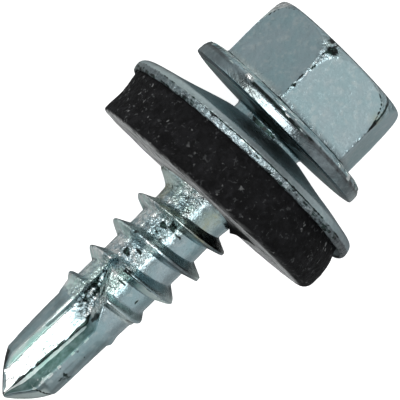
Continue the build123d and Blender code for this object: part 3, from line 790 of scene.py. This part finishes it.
        # green darkens with a teal tint, partly the plating's tint and partly painted shade on the right wall, the
        # head-side flanks and the lands; shade is painted shade
        vals = {
            "relief": np.clip(np.maximum(thread_zone * (0.14 + 0.70 * zone_d + 0.70 * zone_b + 0.45 * zone_g) * (1.0 - 0.4 * crest), 0.10 + 0.8 * run_out), 0.0, 1.0) * (1 - 0.9 * wall_a * done),
            "dark": np.clip(dark, 0, 1),
            "bright": np.clip(bright, 0, 1) * (1 - np.clip(0.8 * margin, 0, 1)),
            "pale": np.clip(pale, 0, 1),
            "lines": np.zeros_like(r),
            "green": np.clip(0.85 * wall_b * smooth(sv, 13.3, 13.9) * (1 - smooth(fr, 0.82, 1.0)) + 0.45 * step * smooth(fr, 0.35, 0.5) * done * (1 - smooth(sv, 15.0, 15.6)) + 0.22 * wall_a * done * (1 - begun) + 0.25 * point_flank * (1 - right_side) * (1 - left_side) + 0.25 * left_edge * smooth(sv, 14.2, 15.6)
                             + 0.55 * head_flank * smooth(around, -75.0, -20.0) * (1 - 0.5 * third) + 0.30 * land_l + 0.14 * land_r + 0.15 * land_r * smooth(sv, 16.0, 17.2), 0, 1),
            "shade": np.clip(0.30 * head_flank * (1 - left_side) * (1 - far_right) * (1 - 0.9 * third) * (1 - smooth(sv, 11.6, 11.9)) + 0.12 * land_r + 0.75 * under_crest + 0.14 * thread_zone * outside * right_side + 0.18 * bell(around, 9.5, 4.5) * thread_zone * outside + 0.26 * bell(sv, 13.05, 0.45) * outside * smooth(around, -120.0, -95.0) * (1 - smooth(around, -48.0, -38.0)) + 0.42 * head_flank * left_side * smooth(ridge_h, 0.10, 0.3) + 0.40 * smooth(sv, 17.36, 17.5) * outside * left_side + 0.16 * land_l * (1 - smooth(sv, 13.9, 14.5)) + 0.10 * land_l * smooth(sv, 16.4, 17.0) + 0.62 * margin + 0.28 * land * smooth(grain_s, 0.0, 0.4) + 0.35 * step * smooth(fr, 0.4, 0.55) * (1 - smooth(sv, 15.0, 15.6)), 0, 1),
            "warm": np.clip(1.0 * olive * thread_zone * (1 - smooth(around, 25.0, 60.0)), 0, 1),
            "gloss": np.where(wall_a * done > 0.5, 0.15, lerp(0.40, 0.24, thread_zone)) + 0.15 * wall_b * bell(fr, 0.18, 0.12) + 0.36 * point_flank * left_side * thread_zone + 0.40 * point_flank * right_side * third + 0.2 * crest * far_right,
        }
        if skew:
            closed = np.concatenate([p, p[src, :1]], 1)
            cv = {k: np.concatenate([v, v[src, :1]], 1) for k, v in vals.items()}
            index = shell.grid(closed, cv, close=False)
        else:
            index = shell.grid(p, vals)
        indices.append(index)
    tip = shell.point((0.0, drift(TIP_S), TIP_S + 0.03), {"relief": 0.2, "gloss": 0.3})
    shell.fan(tip, indices[-1][-1])
    ring = indices[0][0]
    p0 = blocks[0][0][0]
    angle = np.degrees(np.arctan2(p0[:, 1], p0[:, 0]))
    return ring, angle


# two closed pieces that meet inside the washer
head_shell = Shell()
head_ring, _ = head_rows(head_shell)
head_shell.fan(head_shell.point((0.0, 0.0, 1.5), {"relief": 0.2, "gloss": 0.3}), head_ring)
head = head_shell.build("screw_head_surface", local_to_frame, sharp=38.0)
shank_shell = Shell()
shank_ring, _ = shank_rows(shank_shell)
shank_shell.fan(shank_shell.point((0.0, 0.0, 1.5), {"relief": 0.2, "gloss": 0.3}), shank_ring, flip=True)
shank = shank_shell.build("screw_shank_surface", local_to_frame, sharp=38.0)
for piece in (head, shank):
    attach(piece, "screw_body")
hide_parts("screw")

# ------------------------------------------------------------------ the washer
WASHER_PIVOT = 0.85
lean_psi = 16.2 + 20.4
wt = math.radians(4.21)
lean = np.array([math.cos(math.radians(lean_psi)), math.sin(math.radians(lean_psi)), 0.0])   # local axes
W = np.array([0.0, 0.0, 1.0]) * math.cos(wt) + lean * math.sin(wt)
CW = np.array([1.0, 0.0, 0.0]) - W * W[0]
CW /= np.linalg.norm(CW)
RW = np.cross(W, CW)


def washer_to_local(p):
    """(towards camera, right, along) in the washer's own frame to the screw's local frame."""
    p = np.asarray(p, float)
    return np.array([0.0, -0.04, WASHER_PIVOT]) + p[..., 0:1] * CW + p[..., 1:2] * RW + p[..., 2:3] * W


def washer_to_frame(p):
    return local_to_frame(washer_to_local(p))


CONE = math.tan(math.radians(15.2))


def dome(r):
    return -0.87 + CONE * r


PLATE = np.array([   # radius, height: from the underside of the hole round the outside and back under
    (2.47, 0.42), (2.47, -0.02), (2.475, -0.07), (2.50, -0.115), (2.55, -0.138), (2.62, dome(2.62) + 0.012), (2.72, dome(2.72)),
] + [(r, dome(r)) for r in (2.90, 3.10, 3.4, 3.8, 4.2, 4.6, 5.0, 5.4, 5.8, 6.2, 6.5, 6.72)] + [
    (6.86, 1.005), (6.98, 1.06), (7.065, 1.13), (7.125, 1.205),
    (7.165, 1.29), (7.18, 1.38), (7.18, 1.47), (7.175, 1.55), (7.16, 1.62), (7.135, 1.68), (7.10, 1.735), (7.055, 1.765),
    (7.005, 1.76), (6.97, 1.72), (6.955, 1.66), (6.94, 1.645), (6.6, 1.58), (6.0, 1.42), (5.0, 1.16), (4.0, 0.88), (3.2, 0.66),
    (2.7, 0.52),
])


def finer(profile, limit):
    """The same profile with points no further apart than limit where the radius is large."""
    out = [profile[0]]
    for a, b in zip(profile[:-1], profile[1:]):
        n = int(math.ceil(np.hypot(*(b - a)) / limit)) if min(a[0], b[0]) > 6.9 else 1
        out.extend(a + (b - a) * (k + 1) / n for k in range(n))
    return np.array(out)


def plate_mesh():
    shell = Shell()
    chi = np.arange(0, 360, 0.9)
    profile = finer(PLATE, 0.035)
    rr = np.repeat(profile[:, :1], len(chi), 1)
    hh = np.repeat(profile[:, 1:2], len(chi), 1)
    cc = np.broadcast_to(chi, rr.shape)
    p = cyl(cc, rr, hh)
    place = np.arange(len(profile))
    last = int(np.argmax(profile[:, 1]))
    outside = (smooth(place, 4, 8) * (1 - smooth(place, last, last + 3)))[:, None]
    top = outside * (hh < 1.0)
    hh = hh + top * 0.016 * fbm(p, 0.35, 3, 71)
    # the dome isn't quite true: it is pressed a little flatter on the left
    hh = hh + top * bell(rr, 5.2, 1.3) * 0.05 * bell(turn_apart(cc, -90.0), 0.0, 50.0)
    hh = hh - outside * (1 - smooth(hh, 1.10, 1.32)) * smooth(rr, 4.2, 5.8) * 0.085 * bell(turn_apart(cc, 90.0), 0.0, 42.0)
    # the blanked lower edge is ragged
    low = bell(hh, 1.74, 0.14) * (rr > 6.99)
    round_cc = np.stack([np.cos(np.radians(cc)), np.sin(np.radians(cc)), 0 * cc], -1) * 7.1
    hh = hh + low * (0.028 * fbm(round_cc, 1.6, 3, 73) + 0.01)
    rr = rr + smooth(rr, 6.9, 7.1) * 0.014 * fbm(round_cc + np.stack([0 * cc, 0 * cc, hh * 1.5], -1), 1.1, 3, 74)
    rr = rr + outside * bell(hh, 1.55, 0.14) * (rr > 7.0) * 0.016 * noise(round_cc, 3.2, 75)
    p = cyl(cc, rr, hh)
    rim = smooth(rr, 7.02, 7.15) * (hh > 1.0)
    torn = smooth(hh, 1.36, 1.44) * (rr > 6.96)
    streak = fbm(np.stack([round_cc[..., 0] * 0.55, round_cc[..., 1] * 0.55, hh * 7.0], -1), 1.0, 3, 76)
    streak2 = fbm(np.stack([round_cc[..., 0] * 2.2, round_cc[..., 1] * 2.2, hh * 9.0], -1), 1.0, 2, 77)
    turned = turn_apart(cc, 0.0)
    front = bell(turn_apart(cc, -9.0), 0.0, 21.0)
    lit = torn * front * smooth(0.6 * streak + 0.6 * streak2, -0.05, 0.25)
    outer = smooth(rr, 4.2, 6.6) * (hh < 1.15) * outside
    sides = smooth(np.abs(turned), 12.0, 60.0)
    lip_zone = smooth(rr, 6.75, 6.95) * (1 - torn) * outside
    # painted light and shade on the plate: the torn edge's lit front and the dome's sides painted bright, the lip
    # painted pale, painted shade on the dome round the hole, on the lip's front, on the rim's right and on the torn
    # edge away from the front, and a dark painted line at the rim's bend
    vals = {
        "relief": 0.12 + 0.20 * rim + 0.25 * torn,
        "dark": np.clip(0.26 * torn * smooth(-streak, 0.0, 0.3) + 0.16 * torn * (1 - front) + (0.30 + 0.45 * bell(turned, 4.0, 30.0)) * bell(hh, 1.385, 0.045) * rim, 0, 1),
        "bright": np.clip(0.55 * lit + 0.10 * outer * sides + 0.07 * outer * bell(turned, -60.0, 40.0), 0, 1),
        "pale": np.clip(0.6 * lip_zone * (bell(turned, -50.0, 34.0) + 0.30 * bell(turned, 40.0, 24.0)) + 0.35 * torn * bell(turned, -90.0, 16.0), 0, 1),
        "lines": 0.6 * rim,
        "gloss": 0.32 + 0.10 * rim,
        "shade": np.clip(0.62 * (1 - smooth(rr, 4.6, 6.5)) * outside * bell(turn_apart(cc, 25.0), 0.0, 52.0) + 0.85 * lip_zone * bell(turned, 8.0, 28.0) + 0.30 * rim * smooth(turned, 42.0, 66.0) + torn * (0.14 + 0.52 * (1 - front)), 0, 1),
    }
    p = np.concatenate([p, p[:1]])
    vals = {k: np.concatenate([v, v[:1]]) for k, v in vals.items()}
    shell.grid(p, vals)
    return shell.build("washer_plate_surface", washer_to_frame, sharp=50.0)


plate = plate_mesh()
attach(plate, "sealing_washer")
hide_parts("washer_plate")


def gasket_mesh():
    shell = Shell()
    chi = np.arange(0, 360, 1.0)
    n = len(chi)
    # side profile by side: left, right and the faces between them (height below the plate's edge, radius)
    right = np.array([(1.45, 6.55), (1.75, 6.58), (2.0, 6.68), (2.27, 6.78), (2.68, 6.86), (3.08, 6.89), (3.49, 6.88), (3.75, 6.87), (4.1, 6.84), (4.3, 6.84)])
    left = np.array([(1.45, 6.96), (1.75, 6.98), (1.95, 6.96), (2.3, 6.91), (2.63, 6.87), (3.0, 6.85), (3.3, 6.86), (3.6, 6.89), (3.9, 6.93), (4.2, 6.94)])
    side = 0.5 - 0.5 * np.sin(np.radians(chi))            # 1 on the left, 0 on the right
    # low plane of the gasket along the screw's axis, in the local frame
    lt = math.radians(2.9)
    lp = math.radians(69.6 + 20.4)
    normal = np.array([math.cos(lp) * math.sin(lt), math.sin(lp) * math.sin(lt), math.cos(lt)])
    base_point = np.array([0.0, 0.0, 5.09])

    def low_height(r, c):
        """Height in the washer's frame where the low plane is, at radius r and angle c (degrees)."""
        top = washer_to_local(cyl(c, r, 0.0 * c))
        return ((base_point - top) @ normal) / (W @ normal)

    rows_r, rows_h, rough = [], [], []

    def add(r, h, v):
        rows_r.append(np.broadcast_to(r, n).astype(float))
        rows_h.append(np.broadcast_to(h, n).astype(float))
        rough.append(v)

    for r, h in [(2.22, 0.70), (2.22, 0.50), (2.7, 0.52), (3.2, 0.66), (4.0, 0.88), (5.0, 1.16), (6.0, 1.42)]:
        add(r, h, 0.2)
    top_r = lerp(6.60, 6.93, side)
    add(top_r - 0.1, 1.58, 0.2)
    # side wall, in shares of its height down to the rounded low edge
    edge = lerp(0.60, 0.16, side ** 0.7)
    wall_r = lambda h: lerp(np.interp(h, right[:, 0], right[:, 1]), np.interp(h, left[:, 0], left[:, 1]), side)
    bottom = low_height(6.75, chi)
    for t in np.linspace(0.0, 1.0, 34):
        h = lerp(1.60, bottom - edge, t)
        add(wall_r(h), h, 1.0)
    corner_r = wall_r(bottom - edge)
    for a in (12, 26, 40, 54, 68, 80, 90):
        a = math.radians(a)
        r = corner_r - edge * (1 - math.cos(a))
        h_low = low_height(r, chi)
        add(r, h_low - edge * (1 - math.sin(a)), 1.0)
    for t in np.linspace(0.06, 1.0, 16):
        r = lerp(corner_r - edge, 2.22, t)
        add(r, low_height(r, chi), 0.6)
    rr, hh = np.array(rows_r), np.array(rows_h)
    cc = np.broadcast_to(chi, rr.shape)
    p = cyl(cc, rr, hh)
    wall = smooth(rr, 5.8, 6.5)
    rr = rr + wall * 0.018 * fbm(p, 0.7, 3, 81) + wall * 0.010 * noise(p, 3.2, 82)
    hh = hh + (rr > 2.6) * (hh > 2.2) * 0.020 * fbm(p, 0.9, 3, 83)
    # the rubber is drawn down beside the shank on the right
    drawn = bell(turn_apart(cc, 84.0), 0.0, 36.0) * (1 - smooth(rr, 2.35, 3.3)) * (hh > 2.6)
    rr[-2:] = rr[-2:] - np.array([[0.10], [0.17]]) * bell(turn_apart(cc[-2:], 84.0), 0.0, 32.0)
    rr[-3:-1] = rr[-3:-1] - np.array([[0.06], [0.08]]) * bell(turn_apart(cc[-3:-1], 84.0), 0.0, 32.0)
    hh[-1] = hh[-1] + 0.12 * bell(turn_apart(cc[-1], 84.0), 0.0, 32.0)
    hh = hh + 0.28 * drawn + 0.10 * bell(turn_apart(cc, -80.0), 0.0, 34.0) * (1 - smooth(rr, 2.9, 4.2)) * (hh > 2.6)
    p = cyl(cc, rr, hh)
    p[..., 1] += 0.05
    # the underside is painted light in streaks, a painted reflection of the bright floor at a grazing angle
    under = np.zeros_like(rr)
    under[-16:] = 1.0
    under[-17] = 1.0 - 0.5 * (1 - side)
    under[-18] = 1.0 - 0.85 * (1 - side)
    under[-19] = 0.75 * side
    under[-20] = 0.40 * side
    under[-21] = 0.15 * side
    ends = np.abs(np.sin(np.radians(cc)))
    # hollow marks painted shadow: the rubber is painted black beside the shank on the right
    hollow = bell(turn_apart(cc, 88.0), 0.0, 42.0) * (1 - smooth(rr, 3.0, 3.6)) * (hh > 2.6)
    hollow = np.clip(1.6 * hollow, 0, 1)
    vals = {"relief": np.repeat(np.array(rough)[:, None], n, 1), "bright": 0.9 * under * (1 - hollow), "warm": ends ** 2, "dark": hollow}
    p = np.concatenate([p, p[:1]])
    vals = {k: np.concatenate([v, v[:1]]) for k, v in vals.items()}
    shell.grid(p, vals)
    return shell.build("rubber_gasket_surface", washer_to_frame, sharp=60.0)


gasket = gasket_mesh()
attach(gasket, "sealing_washer")
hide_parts("rubber_gasket")


# ------------------------------------------------------------------ materials
class Tree:
    def __init__(self, name):
        self.material = bpy.data.materials.new(name)
        self.material.use_nodes = True
        self.tree = self.material.node_tree
        self.tree.nodes.clear()
        self.out = self.node("ShaderNodeOutputMaterial")

    def node(self, kind, **settings):
        n = self.tree.nodes.new(kind)
        for key, value in settings.items():
            setattr(n, key, value)
        return n

    def link(self, a, b):
        self.tree.links.new(a, b)

    def put(self, socket, value):
        if isinstance(value, bpy.types.NodeSocket):
            self.link(value, socket)
        else:
            socket.default_value = value

    def coords(self):
        """Object coordinates in millimetres, turned so that x runs along the screw, y faces the camera side and z the right."""
        tc = self.node("ShaderNodeTexCoord")
        m = self.node("ShaderNodeMapping", vector_type="POINT")
        m.inputs["Scale"].default_value = (1000.0, 1000.0, 1000.0)
        m.inputs["Rotation"].default_value = Matrix((D, C, R)).to_euler("XYZ")
        self.link(tc.outputs["Object"], m.inputs["Vector"])
        return m.outputs["Vector"]

    def stretch(self, vector, scale):
        m = self.node("ShaderNodeMapping", vector_type="POINT")
        m.inputs["Scale"].default_value = scale
        self.link(vector, m.inputs["Vector"])
        return m.outputs["Vector"]

    def noise(self, vector, scale, detail=2.0, rough=0.5, distortion=0.0):
        n = self.node("ShaderNodeTexNoise")
        n.inputs["Scale"].default_value = scale
        n.inputs["Detail"].default_value = detail
        n.inputs["Roughness"].default_value = rough
        n.inputs["Distortion"].default_value = distortion
        self.link(vector, n.inputs["Vector"])
        return n.outputs["Fac"]

    def warp(self, vector, scale, amount):
        """The vector shaken by a noise, to make shapes drawn with it uneven."""
        n = self.node("ShaderNodeTexNoise")
        n.inputs["Scale"].default_value = scale
        n.inputs["Detail"].default_value = 1.0
        self.link(vector, n.inputs["Vector"])
        m = self.node("ShaderNodeVectorMath", operation="MULTIPLY_ADD")
        self.link(n.outputs["Color"], m.inputs[0])
        m.inputs[1].default_value = (amount, amount, amount)
        self.link(vector, m.inputs[2])
        return m.outputs["Vector"]

    def cells(self, vector, scale, feature="F1", output="Distance"):
        n = self.node("ShaderNodeTexVoronoi", feature=feature)
        n.inputs["Scale"].default_value = scale
        self.link(vector, n.inputs["Vector"])
        return n.outputs[output]

    def value(self, name):
        return self.node("ShaderNodeAttribute", attribute_type="GEOMETRY", attribute_name=name).outputs["Fac"]

    def math(self, op, a, b=0.0, c=0.0, clamp=False):
        n = self.node("ShaderNodeMath", operation=op, use_clamp=clamp)
        self.put(n.inputs[0], a)
        self.put(n.inputs[1], b)
        if len(n.inputs) > 2:
            self.put(n.inputs[2], c)
        return n.outputs[0]

    def band(self, value, lo, hi, a=0.0, b=1.0):
        n = self.node("ShaderNodeMapRange", interpolation_type="SMOOTHSTEP")
        self.put(n.inputs["Value"], value)
        n.inputs["From Min"].default_value = lo
        n.inputs["From Max"].default_value = hi
        n.inputs["To Min"].default_value = a
        n.inputs["To Max"].default_value = b
        return n.outputs["Result"]

    def mix(self, factor, a, b, blend="MIX"):
        n = self.node("ShaderNodeMix", data_type="RGBA", blend_type=blend)
        self.put(n.inputs["Factor"], factor)
        for socket, value in ((n.inputs["A"], a), (n.inputs["B"], b)):
            pass
        ia = [s for s in n.inputs if s.name == "A" and s.type == "RGBA"][0]
        ib = [s for s in n.inputs if s.name == "B" and s.type == "RGBA"][0]
        self.put(ia, a if isinstance(a, bpy.types.NodeSocket) else (*a, 1.0))
        self.put(ib, b if isinstance(b, bpy.types.NodeSocket) else (*b, 1.0))
        return [s for s in n.outputs if s.type == "RGBA"][0]

    def bump(self, height, strength, distance, normal=None):
        n = self.node("ShaderNodeBump")
        self.put(n.inputs["Strength"], strength)
        n.inputs["Distance"].default_value = distance
        self.put(n.inputs["Height"], height)
        if normal is not None:
            self.link(normal, n.inputs["Normal"])
        return n.outputs["Normal"]


def zinc(name, tint=(0.50, 0.625, 0.665), deep=(0.11, 0.145, 0.145)):
    t = Tree(name)
    q = t.coords()
    relief, dark, bright, lines, green, warm, gloss, shade, pale = (t.value(v) for v in VALUES)
    cloud = t.noise(q, 0.55, 4.0, 0.6)
    mottle = t.noise(q, 2.6, 3.0, 0.55)
    grain = t.noise(q, 7.0, 2.0, 0.55)
    fine = t.noise(q, 15.0, 1.0, 0.5)
    blotch = t.noise(t.stretch(q, (1.25, 0.95, 0.85)), 2.9, 2.5, 0.58, 0.30)
    rings = t.noise(t.stretch(q, (9.0, 0.35, 0.35)), 1.0, 2.0, 0.6)
    colour = t.mix(t.band(cloud, 0.35, 0.65), tint, (tint[0] * 0.86, tint[1] * 0.97, tint[2] * 0.97))
    colour = t.mix(t.band(mottle, 0.50, 0.70, 0.0, 0.6), colour, (0.66, 0.76, 0.77))
    pits = t.math("MULTIPLY", t.band(grain, 0.56, 0.68), t.band(relief, 0.1, 0.9, 0.06, 0.70))
    colour = t.mix(pits, colour, deep)
    glints = t.math("MULTIPLY", t.band(grain, 0.44, 0.34), t.band(relief, 0.2, 0.9, 0.0, 0.6))
    colour = t.mix(glints, colour, (0.90, 0.96, 0.95))
    # green: a dark teal, partly the plating's tint and partly painted shade
    colour = t.mix(t.math("MULTIPLY", green, t.band(mottle, 0.3, 0.7, 1.0, 0.75)), colour, (0.030, 0.098, 0.072))
    colour = t.mix(t.math("MULTIPLY", shade, t.band(mottle, 0.3, 0.7, 1.0, 0.8)), colour, (0.10, 0.105, 0.11))
    colour = t.mix(t.math("MULTIPLY", warm, t.band(mottle, 0.3, 0.6, 1.0, 0.4)), colour, (0.50, 0.50, 0.33))
    # pale is painted light
    colour = t.mix(t.math("MULTIPLY", pale, t.band(mottle, 0.3, 0.7, 1.0, 0.75)), colour, (0.86, 0.97, 0.94))
    # painted highlight and painted shade as bright and dark blotches: where the value is 1 they cover all, where it is
    # about a third they are a speckle
    lit = t.band(t.math("ADD", bright, t.math("MULTIPLY", blotch, 1.1)), 0.82, 1.06)
    colour = t.mix(lit, colour, t.mix(t.band(cloud, 0.42, 0.58), (0.97, 1.0, 0.99), (0.74, 0.92, 0.88)))
    # near black where dark is high: painted shade with real dark marks
    torn = t.band(t.math("SUBTRACT", dark, t.math("MULTIPLY", blotch, 1.1)), -0.27, -0.04)
    colour = t.mix(torn, colour, t.mix(t.band(mottle, 0.42, 0.58), (0.024, 0.028, 0.028), (0.035, 0.062, 0.055)))
    bsdf = t.node("ShaderNodeBsdfPrincipled")
    bsdf.inputs["Metallic"].default_value = 1.0
    t.link(colour, bsdf.inputs["Base Color"])
    sheen = t.math("ADD", gloss, t.band(grain, 0.3, 0.7, -0.05, 0.07), clamp=True)
    t.link(sheen, bsdf.inputs["Roughness"])
    wave = t.noise(q, 1.4, 2.0, 0.5)
    n1 = t.bump(wave, 0.22, 0.00012)
    n2 = t.bump(mottle, t.band(relief, 0.1, 1.0, 0.08, 1.0), 0.00045, n1)
    n3 = t.bump(grain, t.band(relief, 0.1, 1.0, 0.12, 0.45), 0.00010, n2)
    n4 = t.bump(fine, t.band(relief, 0.1, 1.0, 0.10, 0.3), 0.00003, n3)
    n5 = t.bump(rings, t.math("MULTIPLY", lines, 0.5), 0.00007, n4)
    t.link(n5, bsdf.inputs["Normal"])
    t.link(bsdf.outputs[0], t.out.inputs["Surface"])
    return t.material


def rubber(name):
    t = Tree(name)
    q = t.coords()
    relief, dark, bright, lines, green, warm, gloss, shade, pale = (t.value(v) for v in VALUES)
    grain = t.noise(q, 5.0, 3.0, 0.6)
    blot = t.noise(q, 1.6, 4.0, 0.7)
    streak = t.noise(t.stretch(q, (0.6, 3.2, 3.2)), 1.0, 3.0, 0.6)
    dust = t.noise(q, 3.6, 2.0, 0.7, 0.6)
    colour = t.mix(t.band(blot, 0.38, 0.68), (0.0045, 0.0045, 0.0048), (0.0105, 0.0105, 0.0115))
    colour = t.mix(t.band(streak, 0.52, 0.78, 0.0, 0.8), colour, (0.017, 0.017, 0.019))
    colour = t.mix(t.math("MULTIPLY", t.band(dust, 0.60, 0.70), t.band(warm, 0.3, 1.0, 0.40, 1.0)), colour, (0.075, 0.078, 0.080))
    # crumbs of dust: small, of uneven shape, crowded at both ends
    shaken = t.warp(q, 3.4, 0.5)
    dots = t.cells(shaken, 1.9)
    pick = t.math("MULTIPLY", t.band(t.noise(q, 1.1, 2.0, 0.6), 0.44, 0.60), t.band(warm, 0.2, 1.0, 0.45, 1.0))
    colour = t.mix(t.math("MULTIPLY", t.band(dots, 0.21, 0.09), pick), colour, (0.21, 0.215, 0.215))
    # the streaks of the underside's painted reflection, light grey where bright is high
    sheen_streaks = t.noise(t.stretch(q, (1.4, 0.9, 0.45)), 2.6, 4.0, 0.7)
    colour = t.mix(t.math("MULTIPLY", bright, t.band(sheen_streaks, 0.38, 0.58, 0.12, 1.0)), colour, (0.60, 0.61, 0.61))
    # painted shadow: black beside the shank where dark is high
    colour = t.mix(dark, colour, (0.003, 0.003, 0.003))
    bsdf = t.node("ShaderNodeBsdfPrincipled")
    t.link(colour, bsdf.inputs["Base Color"])
    t.link(t.band(grain, 0.3, 0.7, 0.62, 0.85), bsdf.inputs["Roughness"])
    bsdf.inputs["Specular IOR Level"].default_value = 0.08
    n1 = t.bump(grain, 0.6, 0.00010)
    n2 = t.bump(t.noise(q, 14.0, 2.0, 0.6), 0.5, 0.00004, n1)
    t.link(n2, bsdf.inputs["Normal"])
    t.link(bsdf.outputs[0], t.out.inputs["Surface"])
    return t.material


zinc_screw = zinc("zinc_plated_screw")
zinc_plate = zinc("zinc_plated_sheet", tint=(0.50, 0.59, 0.63))
black_rubber = rubber("black_rubber")
head.data.materials.append(zinc_screw)
shank.data.materials.append(zinc_screw)
plate.data.materials.append(zinc_plate)
gasket.data.materials.append(black_rubber)
for node, material in (("screw", zinc_screw), ("washer_plate", zinc_plate), ("rubber_gasket", black_rubber)):
    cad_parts[node].data.materials.clear()
    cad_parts[node].data.materials.append(material)

# ------------------------------------------------------------------ floor, light and camera
floor_mesh = bpy.data.meshes.new("floor")
ring = [(0.6 * math.cos(a), 0.6 * math.sin(a), 0.0) for a in np.linspace(0, 2 * math.pi, 64, endpoint=False)]
floor_mesh.from_pydata(ring, [], [tuple(range(64))])
floor = bpy.data.objects.new("floor", floor_mesh)
bpy.context.scene.collection.objects.link(floor)
fm = Tree("pale_floor")
fb = fm.node("ShaderNodeBsdfDiffuse")
fb.inputs["Color"].default_value = (0.9, 0.9, 0.9, 1.0)
fe = fm.node("ShaderNodeEmission")
fe.inputs["Color"].default_value = (1.0, 1.0, 1.0, 1.0)
fe.inputs["Strength"].default_value = 0.80
fa = fm.node("ShaderNodeAddShader")
fm.link(fb.outputs[0], fa.inputs[0])
fm.link(fe.outputs[0], fa.inputs[1])
fm.link(fa.outputs[0], fm.out.inputs["Surface"])
floor_mesh.materials.append(fm.material)
floor.visible_glossy = False

scene = bpy.context.scene
world = bpy.data.worlds.new("studio")
scene.world = world
world.use_nodes = True
wn = world.node_tree.nodes
wn.clear()
background = wn.new("ShaderNodeBackground")
background.inputs["Color"].default_value = (0.96, 0.99, 1.0, 1.0)
wo = wn.new("ShaderNodeOutputWorld")


def studio_walls():
    """The room's soft brightness by direction: wide glows round the screw's sides, dim along its length.
    Straight to the camera it is a plain pale backdrop."""
    tree = world.node_tree
    tc = wn.new("ShaderNodeTexCoord")

    def op(kind, a, b):
        n = wn.new("ShaderNodeMath")
        n.operation = kind
        for socket, value in ((n.inputs[0], a), (n.inputs[1], b)):
            if isinstance(value, bpy.types.NodeSocket):
                tree.links.new(value, socket)
            else:
                socket.default_value = value
        return n.outputs[0]

    def along(aim):
        dot = wn.new("ShaderNodeVectorMath")
        dot.operation = "DOT_PRODUCT"
        tree.links.new(tc.outputs["Generated"], dot.inputs[0])
        dot.inputs[1].default_value = tuple(aim)
        return dot.outputs["Value"]

    def ramp(value, lo, hi, a, b):
        n = wn.new("ShaderNodeMapRange")
        n.interpolation_type = "SMOOTHSTEP"
        tree.links.new(value, n.inputs["Value"])
        n.inputs["From Min"].default_value = lo
        n.inputs["From Max"].default_value = hi
        n.inputs["To Min"].default_value = a
        n.inputs["To Max"].default_value = b
        return n.outputs["Result"]

    total = 0.0
    def glows(total, rows):
        for aim, outer, inner, level in rows:
            glow = ramp(along(aim), math.cos(math.radians(outer)), math.cos(math.radians(inner)), 0.0, level)
            total = op("ADD", total, glow)
        return total

    total = glows(total, STUDIO)
    lengthwise = along(D)
    total = op("MULTIPLY", total, ramp(lengthwise, ENDS[0], ENDS[1], 1.0, ENDS[2]))
    total = op("MULTIPLY", total, ramp(op("MULTIPLY", lengthwise, -1.0), ENDS[0], ENDS[1], 1.0, ENDS[2]))
    total = op("ADD", total, ramp(op("MULTIPLY", lengthwise, -1.0), 0.38, 0.80, 0.0, HEAD_END))
    total = glows(total, LEANING)
    total = op("ADD", total, BASE_LEVEL)
    tree.links.new(total, background.inputs["Strength"])
    pale = wn.new("ShaderNodeBackground")
    pale.inputs["Color"].default_value = (0.92, 0.93, 0.94, 1.0)
    pale.inputs["Strength"].default_value = 1.0
    path = wn.new("ShaderNodeLightPath")
    choose = wn.new("ShaderNodeMixShader")
    tree.links.new(path.outputs["Is Camera Ray"], choose.inputs[0])
    tree.links.new(background.outputs[0], choose.inputs[1])
    tree.links.new(pale.outputs[0], choose.inputs[2])
    tree.links.new(choose.outputs[0], wo.inputs[0])


target_local = np.array([0.0, -0.008, 5.228])


def direction(psi, rise=0.0):
    """Unit vector at an angle about the axis, leaning by rise degrees towards the point."""
    a, b = math.radians(psi), math.radians(rise)
    return (math.cos(a) * C + math.sin(a) * R) * math.cos(b) + D * math.sin(b)


def soft_box(name, psi, rise, distance, width, height, power, colour=(1.0, 1.0, 1.0)):
    centre = local_to_frame(np.array([0.0, 0.0, 6.0]))
    aim = Vector(direction(psi, rise))
    lamp = bpy.data.lights.new(name, "AREA")
    lamp.shape = "RECTANGLE"
    lamp.size, lamp.size_y = width, height
    lamp.energy = power
    lamp.color = colour
    o = bpy.data.objects.new(name, lamp)
    o.location = Vector(centre) + aim * distance
    # long side along the screw
    z = aim
    y = Vector(D) - z * Vector(D).dot(z)
    y.normalize()
    x = y.cross(z)
    m = Matrix((x, y, z)).transposed().to_4x4()
    m.translation = o.location
    o.matrix_world = m
    o.visible_camera = False
    scene.collection.objects.link(o)
    return o


# (direction, outer edge and inner edge of the glow in degrees, brightness)
BASE_LEVEL = 0.05
ENDS = (0.32, 0.75, 0.08)
HEAD_END = 0.50
STUDIO = [
    (direction(52.0), 62.0, 22.0, 0.315),
    (direction(97.0), 66.0, 45.0, 0.30),
    (direction(-110.0), 56.0, 24.0, 0.40),
    (direction(158.0), 24.0, 6.0, 0.16),
    (direction(180.0), 40.0, 14.0, 0.05),
]
LEANING = [(direction(-96.0, 50.0), 42.0, 12.0, 0.50), (direction(128.0, 48.0), 36.0, 10.0, 0.28), (direction(176.0, 57.0), 30.0, 9.0, 0.25)]
studio_walls()
soft_box("key", -2.5, 6.0, 0.30, 0.20, 0.30, 0.56)
soft_box("fill_left", -32.0, 6.0, 0.30, 0.16, 0.28, 0.22)

view_tilt = math.radians(2.1)
to_camera = math.cos(view_tilt) * C + math.sin(view_tilt) * D
along_view = D * math.cos(view_tilt) - C * math.sin(view_tilt)
distance = 0.40
image_right = (R - along_view) / math.sqrt(2.0)
image_up = (-along_view - R) / math.sqrt(2.0)
centre = local_to_frame(target_local)
camera_data = bpy.data.cameras.new("camera")
camera_data.sensor_fit = "HORIZONTAL"
camera_data.sensor_width = 36.0
half_width = 200.0 / 19.7 * MM
camera_data.lens = 18.0 * distance / half_width
camera_data.clip_start = 0.01
camera_data.clip_end = 10.0
camera = bpy.data.objects.new("camera", camera_data)
scene.collection.objects.link(camera)
m = Matrix((Vector(image_right), Vector(image_up), Vector(to_camera))).transposed().to_4x4()
m.translation = Vector(centre + to_camera * distance)
camera.matrix_world = m
scene.camera = camera
scene.view_settings.view_transform = "Standard"
scene.view_settings.look = "None"
